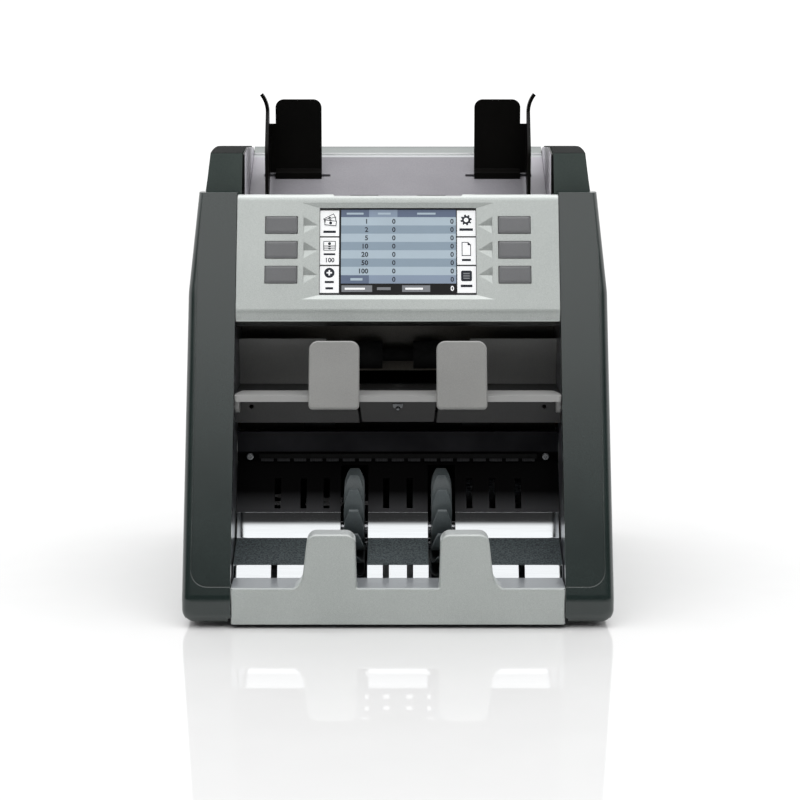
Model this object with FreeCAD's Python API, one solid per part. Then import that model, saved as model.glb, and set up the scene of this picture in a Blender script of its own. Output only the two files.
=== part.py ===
import FreeCAD, Part
import math
import os
from FreeCAD import Placement, Rotation, Vector

# Two-pocket banknote counting machine, millimetres.
# +Z is up, the front faces -Y, and the origin is on the ground below the middle of the body.

# Overall sizes
BODY_W = 260.0
BODY_D = 260.0
BODY_H = 281.0
LEAN = 20.0
PILLAR_W = 29.4
FOOT_H = 2.6

# Sheet and wall thicknesses
COVER_WALL = 2.4
BEZEL_WALL = 2.8
FRAME_T = 2.0
SHEET_T = 1.2
BASE_T = 2.0
BOARD_T = 1.6

# Clearances
SEAM_GAP = 0.3
PART_GAP = 0.3
RUN_GAP = 0.05
BELT_GAP = 0.2
FIT_GAP = 0.02

# Front: lower panel, knee of the slope and display bezel
LIP_TOP = 25.0
LEDGE_D = 25.0
KNEE_SET = 2.0
BEZEL_DROP = 24.8
BEZEL_RISE = 77.4
SEAM_DEPTH = 17.0
RETURN_W = 1.3
RETURN_D = 5.0
INSET_DEPTH = 0.8
INSET_RIM = 5.5
EDGE_R = 6.0

# Screen and keys, measured on the bezel's slope
SCREEN_W = 97.6
SCREEN_H = 55.9
SCREEN_ABOVE = 42.0
RECESS_SIDE = 11.0
RECESS_RISE = 3.0
RECESS_DEPTH = 1.3
KEY_W = 19.8
KEY_H = 10.7
KEY_X = 72.5
KEY_PITCH = 15.95
KEY_OFFSET = 0.6
KEY_PROUD = 1.0
KEY_BEVEL_W = 1.3
KEY_BEVEL_H = 0.6
KEY_GAP = 0.25
KEY_TRAVEL = 0.7
ARROW_SET = 1.1
ARROW_LENGTH = 9.6
ARROW_HALF = 5.9
ARROW_DEPTH = 1.35

# Uprights of the lower panel
UPRIGHT_IN = 24.8
UPRIGHT_OUT = 57.4
UPRIGHT_TOP = 57.8
UPRIGHT_T = 13.0

# Stacker pocket
WHEEL_R = 38.0
WHEEL_W = 12.6
WHEEL_X = 27.4
WHEEL_HUB_R = 13.0
WHEEL_BLADES = 16
BLADE_T = 2.2
BLADE_SWEEP = 52.0
WHEEL_SIDE_GAP = 2.3
WHEEL_REACH = 38.0
WHEEL_LIFT = 1.4
PLATE_HEEL_Z = 18.0
PLATE_LIP_Z = 24.2
PLATE_LIP_H = 7.6
PLATE_LIP_LEAN = 26.0
PLATE_SLOPE = 21.1
PLATE_RUN = 27.0
PLATE_BEND_R = 1.2
WALL_R = 49.5
WALL_FOOT_TILT = 32.0
WALL_TOP_TILT = 13.0
SLOT_W = 3.8
SLOT_X = (7.4, 75.8)
GUIDE_SLOT_X = (7.4, 45.0, 59.5, 75.8)

# Reject pocket
REJECT_Z = 132.0
REJECT_FRONT = 66.0
REJECT_BACK = 104.0
SKIRT_H = 18.2
STOP_W = 30.9
STOP_X = 39.1
STOP_H = 42.5
STOP_T = 3.0
STOP_PROUD = 3.5
BAR_T = 3.7
BAR_FRONT = 41.7
BAR_BACK = 63.0
PIVOT_D = 52.0
PIVOT_R = 2.0

# Hopper
HOPPER_W = 195.4
CHEEK_T = 1.2
FLOOR_ANGLE = 30.0
FLOOR_T = 2.0
GUIDE_D = 168.0
GUIDE_DROP = 18.3
FLOOR_FRONT = 66.6
FLOOR_BACK = 24.9
GUIDE_T = 2.4
GUIDE_IN = 50.7
GUIDE_PLATE_W = 30.5
GUIDE_SIDE_X = 83.6
GUIDE_SIDE_T = 2.2
GUIDE_TOP = 32.0
GUIDE_SIDE_TOP = 36.0
GUIDE_FLARE = 4.2
GUIDE_FLARE_H = 12.0
GUIDE_TOE = 2.2
GUIDE_REACH = 40.0
GUIDE_OUT = 7.0
GUIDE_INWARD = 28.0
STEM_X = 74.0
STEM_W = 7.0
RACK_MODULE = 1.0
PINION_TEETH = 14
RACK_T = 4.5
PINION_W = 13.0

# Shafts and rollers
SHAFT_R = 4.0
BUSH_R = 7.0
BUSH_L = 5.0
DRUM_R = 32.0
FEED_R = 12.0
PICKUP_R = 9.0
RETARD_R = 8.0
UPPER_R = 9.0
EXIT_R = 9.0
LOWER_R = 8.0
PINCH_R = 6.0
PINCH_GAP = 0.4
ROLLER_PROUD = 1.6
BELT_W = 5.0
BELT_T = 1.5

# Rear
DOOR_BOTTOM = 62.0
DOOR_TOP_DROP = 50.0
DOOR_T = 3.0
MOTOR_R = 20.0
FEED_MOTOR_R = 15.0
INLET_X = -62.0
SWITCH_X = -20.0
PORT_X = 55.0
SOCKET_Z = 32.0

# Places that follow from the sizes above
FRONT = -BODY_D / 2
REAR = BODY_D / 2
HALF_W = BODY_W / 2
OPEN_HW = HALF_W - PILLAR_W
FRAME_X = OPEN_HW + RETURN_W + 0.1
FRAME_OUT = FRAME_X + FRAME_T
SHEET_HW = FRAME_X - PART_GAP
KNEE_Z = LIP_TOP - 1.0
TAN_LEAN = math.tan(math.radians(LEAN))
COS_LEAN = math.cos(math.radians(LEAN))
SIN_LEAN = math.sin(math.radians(LEAN))
BEZEL_TOP = BODY_H - BEZEL_DROP
BEZEL_BOTTOM = BEZEL_TOP - BEZEL_RISE
SCREEN_Z = BEZEL_BOTTOM + SCREEN_ABOVE
PLATE_Z = FOOT_H + BASE_T
HOPPER_HW = HOPPER_W / 2
FLOOR_HW = HOPPER_HW - 0.2
FLOOR_RISE = math.tan(math.radians(FLOOR_ANGLE))
FLOOR_COS = math.cos(math.radians(FLOOR_ANGLE))
FLOOR_SIN = math.sin(math.radians(FLOOR_ANGLE))
GUIDE_Y = FRONT + GUIDE_D
GUIDE_Z = BODY_H - GUIDE_DROP
PITCH_R = RACK_MODULE * PINION_TEETH / 2
X_AXIS = Vector(1, 0, 0)
ORIGIN = Vector(0, 0, 0)


# Heights and depths of the two sloping planes
def slope_y(z):
    return FRONT + KNEE_SET + (z - KNEE_Z) * TAN_LEAN


def floor_z(y):
    return GUIDE_Z + (y - GUIDE_Y) * FLOOR_RISE


# Centre of a roller that stands a little way out of the hopper floor at depth y
def under_floor(y, radius):
    return (y, floor_z(y) - (radius - ROLLER_PROUD) / FLOOR_COS)


STACKER = (FRONT + WHEEL_REACH + WHEEL_R, PLATE_Z + WHEEL_LIFT + WHEEL_R)
DRUM = (FRONT + 164.0, REJECT_Z + 36.0)
EXIT = (FRONT + REJECT_BACK + 8.0, REJECT_Z + 18.0)
LOWER = (FRONT + 98.0, REJECT_Z - 20.0)
UPPER = (FRONT + 118.0, REJECT_Z + 60.0)
DIVERTER = (FRONT + 126.0, REJECT_Z - 4.0)
FEED = under_floor(FRONT + 120.0, FEED_R)
PICKUP = under_floor(FRONT + 144.0, PICKUP_R)
RETARD = (FEED[0] - 16.8, FEED[1] + 11.7)
MOTOR = (REAR - 48.0, 46.0)
FEED_MOTOR = (FRONT + 185.0, floor_z(FRONT + 185.0) - 47.5)
PIVOT = (FRONT + PIVOT_D, REJECT_Z - 5.2)
DOOR_HINGE = (REAR - 8.0, DOOR_BOTTOM + 4.0)
PINCH_ANGLES = (15.0, -25.0)
PINCH_REACH = DRUM_R + PINCH_R + PINCH_GAP
PINCHES = [(DRUM[0] + PINCH_REACH * math.cos(math.radians(a)),
            DRUM[1] + PINCH_REACH * math.sin(math.radians(a))) for a in PINCH_ANGLES]


# Basic solids
def box(x0, x1, y0, y1, z0, z1):
    return Part.makeBox(x1 - x0, y1 - y0, z1 - z0, Vector(x0, y0, z0))


def rod_x(x0, x1, centre, radius):
    return Part.makeCylinder(radius, x1 - x0, Vector(x0, centre[0], centre[1]), X_AXIS)


def tube_x(x0, x1, centre, outer, inner):
    return rod_x(x0, x1, centre, outer).cut(rod_x(x0 - 1, x1 + 1, centre, inner))


def rod_y(y0, y1, x, z, radius):
    return Part.makeCylinder(radius, y1 - y0, Vector(x, y0, z), Vector(0, 1, 0))


# A closed flat outline whose corners are rounded by the given radii
def outline_face(points, radii):
    count = len(points)
    if not isinstance(radii, (list, tuple)):
        radii = [radii] * count
    stations = []
    for index, corner in enumerate(points):
        radius = radii[index]
        if radius == 0:
            stations.append((corner, None, corner))
            continue
        back = (points[index - 1] - corner).normalize()
        ahead = (points[(index + 1) % count] - corner).normalize()
        half = back.getAngle(ahead) / 2
        middle = (back + ahead).normalize()
        reach = radius / math.tan(half)
        arc_point = corner + middle * (radius / math.sin(half) - radius)
        stations.append((corner + back * reach, arc_point, corner + ahead * reach))
    edges = []
    for index, (start, arc_point, end) in enumerate(stations):
        if arc_point is not None:
            edges.append(Part.Arc(start, arc_point, end).toShape())
        following = stations[(index + 1) % count][0]
        if end.distanceToPoint(following) > 1e-6:
            edges.append(Part.LineSegment(end, following).toShape())
    return Part.Face(Part.Wire(edges))


def extrude_x(points, x0, x1, radii=0):
    face = outline_face([Vector(x0, y, z) for y, z in points], radii)
    return face.extrude(Vector(x1 - x0, 0, 0))


def extrude_y(points, y0, y1, radii=0):
    face = outline_face([Vector(x, y0, z) for x, z in points], radii)
    return face.extrude(Vector(0, y1 - y0, 0))


def extrude_z(points, z0, z1, radii=0):
    face = outline_face([Vector(x, y, z0) for x, y in points], radii)
    return face.extrude(Vector(0, 0, z1 - z0))


def rounded_rect(half_w, low, high):
    return [(-half_w, low), (half_w, low), (half_w, high), (-half_w, high)]


def fuse_all(shapes):
    return shapes[0].multiFuse(shapes[1:]).removeSplitter()


def cut_all(shape, tools):
    return shape.cut(Part.makeCompound(tools))


def mirrored(shape):
    return shape.mirror(ORIGIN, X_AXIS)


def with_mirror(shapes):
    return shapes + [mirrored(shape) for shape in shapes]


# Local frames: X stays X, local Y runs up the slope, local Z points out of the surface
def on_bezel(shape):
    placed = shape.copy()
    placed.Placement = Placement(Vector(0, slope_y(SCREEN_Z), SCREEN_Z), Rotation(X_AXIS, 90 - LEAN))
    return placed


def on_floor(shape):
    placed = shape.copy()
    placed.Placement = Placement(Vector(0, GUIDE_Y, GUIDE_Z), Rotation(X_AXIS, FLOOR_ANGLE))
    return placed


def save(node, shape):
    shape.exportStep("parts/" + node + ".step")


def save_group(node, shapes):
    save(node, Part.makeCompound(shapes))


# Front covers: the two leaning pillars beside the pockets
SEAM_Y = SEAM_DEPTH
COVER_TAPER_Z = BODY_H - 86.0
COVER_TOP_IN = 5.3


def cover_outline(inset, low, top, top_in):
    side = HALF_W - inset
    return [(0, low), (side, low), (side, COVER_TAPER_Z), (side - top_in, top), (0, top)]


def pillar_profile(shift, top, low):
    return [(FRONT + shift, low), (FRONT + shift, KNEE_Z - KNEE_SET / TAN_LEAN),
            (slope_y(top) + shift, top), (slope_y(top) + SEAM_Y, top),
            (slope_y(KNEE_Z) + SEAM_Y, KNEE_Z), (slope_y(KNEE_Z) + SEAM_Y, low)]


def right_front_cover():
    low = FOOT_H
    block = extrude_x(pillar_profile(0, BEZEL_TOP, low), OPEN_HW, HALF_W + 1, [0, 12, 0, 0, 0, 0])
    sides = extrude_y(cover_outline(0, low, BEZEL_TOP, COVER_TOP_IN), FRONT - 1, REAR, [0, 8, 60, 0, 0])
    block = block.common(sides)
    front_edges = [edge for edge in block.Edges if is_front_outer_edge(edge)]
    block = block.makeFillet(EDGE_R, front_edges)
    inner_top = BEZEL_TOP - COVER_WALL
    hollow = extrude_x(hollow_profile(inner_top, low), OPEN_HW + RETURN_W, HALF_W)
    hollow_side = cover_outline(COVER_WALL, low - 1, inner_top, COVER_TOP_IN)
    hollow = hollow.common(extrude_y(hollow_side, FRONT, REAR, [0, 0, 60, 0, 0]))
    behind = [(slope_y(low - 9) + RETURN_D, low - 9), (slope_y(inner_top) + RETURN_D, inner_top),
              (REAR, inner_top), (REAR, low - 9)]
    passage = extrude_x(behind, OPEN_HW - 1, OPEN_HW + RETURN_W + 0.1)
    return cut_all(block, [hollow, passage, pillar_inset()])


def hollow_profile(top, low):
    wall = COVER_WALL / COS_LEAN
    return [(FRONT + COVER_WALL, low - 1), (FRONT + COVER_WALL, KNEE_Z - KNEE_SET / TAN_LEAN),
            (slope_y(top) + wall, top), (REAR, top), (REAR, low - 1)]


def is_front_outer_edge(edge):
    middle = edge.valueAt((edge.FirstParameter + edge.LastParameter) / 2)
    plane_y = max(FRONT, slope_y(middle.z))
    near_front = abs(middle.y - plane_y) < 2.0
    long_enough = edge.BoundBox.ZLength > 5.0
    return near_front and middle.x > HALF_W - 9.0 and long_enough


# The sunk field on a pillar's front, with a rim that narrows towards the top
def pillar_inset():
    low = (LIP_TOP - SCREEN_Z) / COS_LEAN
    high = (BEZEL_TOP - SCREEN_Z) / COS_LEAN + 9
    outer = HALF_W - INSET_RIM
    points = [(OPEN_HW - 1, low), (outer, low), (outer, 0), (outer - 3.4, high), (OPEN_HW - 1, high)]
    return on_bezel(extrude_z(points, -INSET_DEPTH, 6.0, [0, 10, 40, 0, 0]))


# Rear covers: the side panels with the raised ears beside the hopper
EAR_TOP = BODY_H + 0.4
EAR_FRONT = 9.0
EAR_BROW = 1.7
EAR_CREST = 1.8
EAR_CREST_RUN = 26.0
EAR_LEVEL_END = REAR - 64.0
EAR_REAR_Z = BODY_H - 45.0
EAR_STEP_IN = 5.2
REAR_STRIP_W = 29.0


def ear_rise():
    return slope_y(BEZEL_TOP) + SEAM_Y + SEAM_GAP


# An ear's top line: it climbs from a low brow to a crest and falls gently towards the rear
def ear_top_line(inset, drop):
    front = ear_rise() + EAR_FRONT + inset
    return [(front, EAR_TOP - EAR_BROW - drop), (front + EAR_CREST_RUN, EAR_TOP + EAR_CREST - drop),
            (EAR_LEVEL_END, EAR_TOP - drop)]


def ear_profile():
    first = slope_y(KNEE_Z) + SEAM_Y + SEAM_GAP
    low_front = [(first, FOOT_H), (first, KNEE_Z), (ear_rise(), BEZEL_TOP)]
    low_rear = [(REAR - 6, EAR_REAR_Z), (REAR - 2, EAR_REAR_Z - 22), (REAR - 2, FOOT_H)]
    return low_front + ear_top_line(0, 0) + low_rear


# The inside of a rear cover: open below and towards the front cover, closed at the ear's front
def ear_hollow():
    t = COVER_WALL
    low = FOOT_H - 1
    lip_z = BEZEL_TOP - t
    low_front = [(FRONT - 40, low), (FRONT - 40, KNEE_Z), (ear_rise() - 30, lip_z), (ear_rise() + t, lip_z)]
    low_rear = [(REAR - 6 - t, EAR_REAR_Z - t), (REAR - 2 - t, EAR_REAR_Z - 22), (REAR - 2 - t, low)]
    return low_front + ear_top_line(t, t) + low_rear


def ear_outline(inset, low, top):
    side = HALF_W - 0.4 - inset
    return [(0, low), (side, low), (side, COVER_TAPER_Z), (side - EAR_STEP_IN - 3.4, BEZEL_TOP + 7),
            (side - EAR_STEP_IN - 5.4, top), (0, top)]


def right_rear_cover():
    low = FOOT_H
    inner_x = HOPPER_HW + CHEEK_T + 0.2
    crest = EAR_TOP + EAR_CREST
    radii = [0, 0, 6, 1.2, 20, 14, 16, 16, 2]
    block = extrude_x(ear_profile(), inner_x, HALF_W + 1, radii)
    block = block.common(extrude_y(ear_outline(0, low, crest), FRONT, REAR, [0, 8, 60, 20, 2.8, 0]))
    plan = [(0, FRONT), (HALF_W, FRONT), (HALF_W, REAR - 2), (0, REAR - 2)]
    block = block.common(extrude_z(plan, 0, crest, [0, 0, 10, 0]))
    hollow = extrude_x(ear_hollow(), inner_x - 1, HALF_W)
    side_line = ear_outline(COVER_WALL, low - 1, crest - COVER_WALL)
    hollow = hollow.common(extrude_y(side_line, FRONT - 60, REAR))
    lower_rear = box(0, HALF_W - REAR_STRIP_W, FRONT, REAR + 1, 0, EAR_REAR_Z)
    return cut_all(block, [hollow, lower_rear])


# Display bezel with its screen window, key openings and arrow dents
BEZEL_HW = OPEN_HW - 0.4
BEZEL_V_TOP = (BEZEL_TOP - SCREEN_Z) / COS_LEAN
BEZEL_V_LOW = (BEZEL_BOTTOM - SCREEN_Z) / COS_LEAN
BEZEL_DEEP_TOP = 19.0
BEZEL_DEEP_LOW = 14.0
BEZEL_TOP_R = 5.0
DIP_HW = 39.6
DIP_DEPTH = 1.0
CREASE_UP = 6.2
CREASE_BACK = 2.2
KEY_ROWS = [KEY_OFFSET + KEY_PITCH * step for step in (1, 0, -1)]
BOSS_X = 90.0
BOSS_V = 26.0
BOSS_R = 2.6
BOARD_N = -9.8


def bezel_section(wall, half_w):
    low = BEZEL_V_LOW + wall
    high = BEZEL_V_TOP - wall
    points = [(low, -BEZEL_DEEP_LOW), (low, -CREASE_BACK - wall), (low + CREASE_UP, -wall), (high, -wall),
              (high, -BEZEL_DEEP_TOP)]
    if wall:
        points[0] = (low, -BEZEL_DEEP_LOW - 9)
        points[4] = (high, -BEZEL_DEEP_TOP - 9)
    face = outline_face([Vector(-half_w, v, n) for v, n in points], [0, 1.5, 8, BEZEL_TOP_R - wall, 0])
    return face.extrude(Vector(2 * half_w, 0, 0))


def screen_recess():
    wires = []
    for grow, n in ((1.0, 0.0), (0.0, -RECESS_DEPTH)):
        half_w = SCREEN_W / 2 + RECESS_SIDE * grow
        half_h = SCREEN_H / 2 + RECESS_RISE * grow
        corners = [Vector(x, v, n) for x, v in rounded_rect(half_w, -half_h, half_h)]
        wires.append(Part.makePolygon(corners + [corners[0]]))
    return Part.makeLoft(wires, True, True)


# A shallow three-sided dent that points from a key to the screen
def arrow_dent(side, v):
    base = side * (SCREEN_W / 2 + RECESS_SIDE - ARROW_SET)
    tip = base - side * ARROW_LENGTH
    base_n = 0.1 - RECESS_DEPTH * ARROW_SET / RECESS_SIDE
    tip_n = 0.1 - RECESS_DEPTH * (ARROW_SET + ARROW_LENGTH) / RECESS_SIDE
    points = [Vector(tip, v, tip_n), Vector(base, v + ARROW_HALF, base_n),
              Vector(base, v - ARROW_HALF, base_n), Vector(base, v, base_n - ARROW_DEPTH)]
    faces = []
    for a, b, c in ((0, 1, 2), (0, 1, 3), (0, 2, 3), (1, 2, 3)):
        faces.append(Part.Face(Part.makePolygon([points[a], points[b], points[c], points[a]])))
    return Part.makeSolid(Part.makeShell(faces))


def display_bezel():
    shell = bezel_section(0, BEZEL_HW).cut(bezel_section(BEZEL_WALL, BEZEL_HW - BEZEL_WALL))
    bosses = []
    for x in (-BOSS_X, BOSS_X):
        for v in (-BOSS_V, BOSS_V):
            height = -BEZEL_WALL - BOARD_N
            bosses.append(Part.makeCylinder(BOSS_R, height + 1, Vector(x, v, BOARD_N)))
    shell = fuse_all([shell] + bosses)
    tools = [screen_recess(), box(-SCREEN_W / 2, SCREEN_W / 2, -SCREEN_H / 2, SCREEN_H / 2, -9, 1)]
    for side in (-1, 1):
        for v in KEY_ROWS:
            half_w = KEY_W / 2 + KEY_GAP
            half_h = KEY_H / 2 + KEY_GAP
            x = side * KEY_X
            tools.append(box(x - half_w, x + half_w, v - half_h, v + half_h, -9, 1))
            tools.append(arrow_dent(side, v))
    for tool in tools:
        shell = shell.cut(tool)
    return on_bezel(shell).cut(top_dip())


# The shallow dip in the middle of the bezel's rounded top edge
def top_dip():
    crown = BEZEL_TOP - BEZEL_TOP_R * (COS_LEAN + SIN_LEAN - 1)
    low = crown - DIP_DEPTH
    high = crown + 1
    points = [(-DIP_HW - 2, high), (-DIP_HW, low), (DIP_HW, low), (DIP_HW + 2, high)]
    return extrude_y(points, FRONT, REAR)


LENS_T = 1.2
LENS_RIM = 2.2
MODULE_T = 5.3
MODULE_RIM = 4.2


def screen_lens():
    half_w = SCREEN_W / 2 + LENS_RIM
    half_h = SCREEN_H / 2 + LENS_RIM
    return on_bezel(box(-half_w, half_w, -half_h, half_h, -BEZEL_WALL - LENS_T, -BEZEL_WALL))


def screen_module():
    half_w = SCREEN_W / 2 + MODULE_RIM
    half_h = SCREEN_H / 2 + MODULE_RIM
    top = -BEZEL_WALL - LENS_T
    return on_bezel(box(-half_w, half_w, -half_h, half_h, top - MODULE_T, top))


SWITCH_SIZE = 6.0
SWITCH_H = 2.0
STEM_R = 2.0
FLANGE_T = 1.2
FLANGE_RIM = 1.3
FLANGE_N = -BEZEL_WALL - 0.4


def key_board():
    board = box(-BEZEL_HW + 4, BEZEL_HW - 4, BEZEL_V_LOW + 9, BEZEL_V_TOP - 6, BOARD_N - BOARD_T, BOARD_N)
    half = SWITCH_SIZE / 2
    for side in (-1, 1):
        for v in KEY_ROWS:
            x = side * KEY_X
            board = board.fuse(box(x - half, x + half, v - half, v + half, BOARD_N, BOARD_N + SWITCH_H))
    return on_bezel(board)


# The four sloping planes of a key's bevelled face, as one tapering block
def key_taper(x, v):
    drop = KEY_PROUD - FLANGE_N + FLANGE_T
    wires = []
    for fall in (drop, 0.0):
        grow = KEY_BEVEL_W * (fall / KEY_BEVEL_H - 1)
        half_h = KEY_H / 2 + grow
        outline = rounded_rect(KEY_W / 2 + grow, -half_h, half_h)
        corners = [Vector(x + dx, v + dv, KEY_PROUD - fall) for dx, dv in outline]
        wires.append(Part.makePolygon(corners + [corners[0]]))
    return Part.makeLoft(wires, True, True)


def key_cap(side, v):
    x = side * KEY_X
    cap = extrude_z([(x + dx, v + dv) for dx, dv in rounded_rect(KEY_W / 2, -KEY_H / 2, KEY_H / 2)],
                    FLANGE_N - FLANGE_T, KEY_PROUD, 1.0)
    cap = cap.common(key_taper(x, v))
    half_w = KEY_W / 2 + FLANGE_RIM
    half_h = KEY_H / 2 + FLANGE_RIM
    flange = box(x - half_w, x + half_w, v - half_h, v + half_h, FLANGE_N - FLANGE_T, FLANGE_N)
    stem_end = BOARD_N + SWITCH_H + KEY_TRAVEL + 0.2
    stem = Part.makeCylinder(STEM_R, FLANGE_N - stem_end, Vector(x, v, stem_end))
    return on_bezel(fuse_all([cap, flange, stem]))


# Lower front panel: silver band, ledge and the two uprights that stop the notes
PANEL_HW = OPEN_HW - 0.3
PANEL_WALL = 2.5
UPRIGHT_LEAN_IN = 3.4


def upright_outline():
    foot = UPRIGHT_OUT + 5.0
    return [(PANEL_HW, LIP_TOP), (foot, LIP_TOP), (UPRIGHT_OUT, LIP_TOP + 4.0),
            (UPRIGHT_OUT - UPRIGHT_LEAN_IN, UPRIGHT_TOP), (UPRIGHT_IN + 0.8, UPRIGHT_TOP),
            (UPRIGHT_IN, LIP_TOP)]


def front_lower_panel():
    right = upright_outline()
    left = [(-x, z) for x, z in reversed(right)]
    points = [(-PANEL_HW, FOOT_H), (PANEL_HW, FOOT_H)] + right + left
    corner = [0.5, 3.0, 9.0, 6.0, 6.0, 1.0]
    radii = [0, 0] + corner + corner[::-1]
    block = extrude_y(points, FRONT, FRONT + UPRIGHT_T, radii)
    edges = [edge for edge in block.Edges
             if edge.BoundBox.YMax < FRONT + 0.01 and edge.BoundBox.ZMin > LIP_TOP - 1]
    block = block.makeChamfer(0.9, edges)
    hollow = box(-PANEL_HW + PANEL_WALL, PANEL_HW - PANEL_WALL, FRONT + PANEL_WALL, FRONT + UPRIGHT_T + 1,
                 FOOT_H - 1, LIP_TOP - PANEL_WALL)
    ledge = box(-PANEL_HW, PANEL_HW, FRONT + PANEL_WALL, FRONT + LEDGE_D, LIP_TOP - PANEL_WALL, LIP_TOP - 0.2)
    return fuse_all([block.cut(hollow), ledge])


# Stacker pocket: folded steel plate, black back guide and a comb of brush tufts
PLATE_FRONT = FRONT + LEDGE_D + PART_GAP
LIP_TOP_Y = PLATE_FRONT + PLATE_LIP_H * math.tan(math.radians(PLATE_LIP_LEAN))
LIP_TOP_Z = PLATE_LIP_Z + PLATE_LIP_H
WALL_FOOT = (LIP_TOP_Y + PLATE_RUN, LIP_TOP_Z + PLATE_RUN * math.tan(math.radians(PLATE_SLOPE)))
WALL_C = (WALL_FOOT[0] - WALL_R * math.cos(math.radians(WALL_FOOT_TILT)),
          WALL_FOOT[1] + WALL_R * math.sin(math.radians(WALL_FOOT_TILT)))
WHEEL_SLOT = (WHEEL_X - WHEEL_W / 2 - WHEEL_SIDE_GAP, WHEEL_X + WHEEL_W / 2 + WHEEL_SIDE_GAP)
GUIDE_SHEET = 1.6
BACK_GUIDE_TOP = STACKER[1] + WHEEL_R + 2.0
BACK_PANEL_TOP = REJECT_Z - 26.5
BACK_PANEL_Y = FRONT + 80.0


def on_wall(tilt, radius):
    a = math.radians(tilt)
    return (WALL_C[0] + radius * math.cos(a), WALL_C[1] - radius * math.sin(a))


# The plate's line behind its front face, where each bend's two offset sides meet
def plate_back(points, tilts):
    behind = []
    for index, (y, z) in enumerate(points):
        first = math.radians(tilts[max(index - 1, 0)])
        second = math.radians(tilts[min(index, len(tilts) - 1)])
        half = (first + second) / 2
        reach = SHEET_T / math.cos((second - first) / 2)
        behind.append((y + reach * math.cos(half), z - reach * math.sin(half)))
    return behind


def plate_points(points):
    return [Vector(-SHEET_HW + 0.8, y, z) for y, z in points]


def stacker_plate():
    faces = [(PLATE_FRONT, PLATE_HEEL_Z), (PLATE_FRONT, PLATE_LIP_Z), (LIP_TOP_Y, LIP_TOP_Z), WALL_FOOT]
    tilts = [0.0, PLATE_LIP_LEAN, 90.0 - PLATE_SLOPE, WALL_FOOT_TILT]
    behind = plate_back(faces, tilts)
    middle = (WALL_FOOT_TILT + WALL_TOP_TILT) / 2
    wall = plate_points([on_wall(tilt, WALL_R) for tilt in (WALL_FOOT_TILT, middle, WALL_TOP_TILT)])
    outer = WALL_R + SHEET_T
    shell = plate_points([on_wall(WALL_TOP_TILT, outer), on_wall(middle, outer), behind[3]])
    front = plate_points(faces)
    back = plate_points(behind[:3][::-1])
    edges = [Part.LineSegment(first, second).toShape() for first, second in zip(front, front[1:])]
    edges.append(Part.Arc(*wall).toShape())
    edges.append(Part.LineSegment(wall[2], shell[0]).toShape())
    edges.append(Part.Arc(*shell).toShape())
    edges += [Part.LineSegment(first, second).toShape() for first, second in zip([shell[2]] + back, back)]
    edges.append(Part.LineSegment(back[2], front[0]).toShape())
    width = 2 * (SHEET_HW - 0.8)
    plate = Part.Face(Part.Wire(edges)).extrude(Vector(width, 0, 0))
    bends = []
    for edge in plate.Edges:
        box_of = edge.BoundBox
        if box_of.XLength > 1 and abs(box_of.YMin - LIP_TOP_Y) + abs(box_of.ZMin - LIP_TOP_Z) < 0.02:
            bends.append(edge)
        if box_of.XLength > 1 and abs(box_of.YMin - WALL_FOOT[0]) + abs(box_of.ZMin - WALL_FOOT[1]) < 0.02:
            bends.append(edge)
    plate = plate.makeFillet(PLATE_BEND_R, bends)
    y0 = PLATE_FRONT - 1
    z0 = PLATE_LIP_Z - 0.7
    tools = [box(WHEEL_SLOT[0], WHEEL_SLOT[1], y0, BACK_PANEL_Y, z0, WALL_C[1] + 9)]
    for x in SLOT_X:
        tools.append(box(x - SLOT_W / 2, x + SLOT_W / 2, y0, LIP_TOP_Y + 2, z0, LIP_TOP_Z + 3))
    return cut_all(plate, with_mirror(tools))


def stacker_back_guide():
    foot = on_wall(WALL_TOP_TILT, WALL_R)
    t = GUIDE_SHEET
    low_z = foot[1] - 1.0
    bend_z = BACK_GUIDE_TOP + 2.5
    points = [(foot[0] + SHEET_T + 0.2, low_z), (BACK_PANEL_Y, bend_z), (BACK_PANEL_Y, BACK_PANEL_TOP),
              (BACK_PANEL_Y + t, BACK_PANEL_TOP), (BACK_PANEL_Y + t, bend_z),
              (foot[0] + SHEET_T + 0.2 + t, low_z)]
    guide = extrude_x(points, -SHEET_HW, SHEET_HW)
    tools = []
    for x in GUIDE_SLOT_X:
        tools.append(box(x - SLOT_W / 2, x + SLOT_W / 2, foot[0], BACK_PANEL_Y + 9, low_z + 2.5, low_z + 20))
    tools.append(box(WHEEL_SLOT[0], WHEEL_SLOT[1], foot[0], BACK_PANEL_Y + 9, low_z - 1, BACK_GUIDE_TOP))
    return cut_all(guide, with_mirror(tools))


# Two bent sheets that lead the notes: one under the lower roller, one behind the exit roller
def transport_guides():
    t = SHEET_T
    y0 = BACK_PANEL_Y + GUIDE_SHEET + PART_GAP
    z0 = LOWER[1] - LOWER_R - 1.0
    top = [(y0, z0), (LOWER[0] + 3, z0), (LOWER[0] + 22, z0 + 8), (LOWER[0] + 42, z0 + 19)]
    under = [(y, z - t) for y, z in reversed(top)]
    chute = extrude_x(top + under, -SHEET_HW, SHEET_HW)
    y1 = EXIT[0] + EXIT_R + 3.0
    wall = box(-SHEET_HW, SHEET_HW, y1, y1 + t, REJECT_Z + 6, UPPER[1] - UPPER_R - 3)
    return [chute, wall]


BRUSH_HW = 88.0
BRUSH_BAR = 2.5
TUFT_W = 7.8
TUFT_PITCH = 10.35
TUFT_H = 2.0


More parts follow.
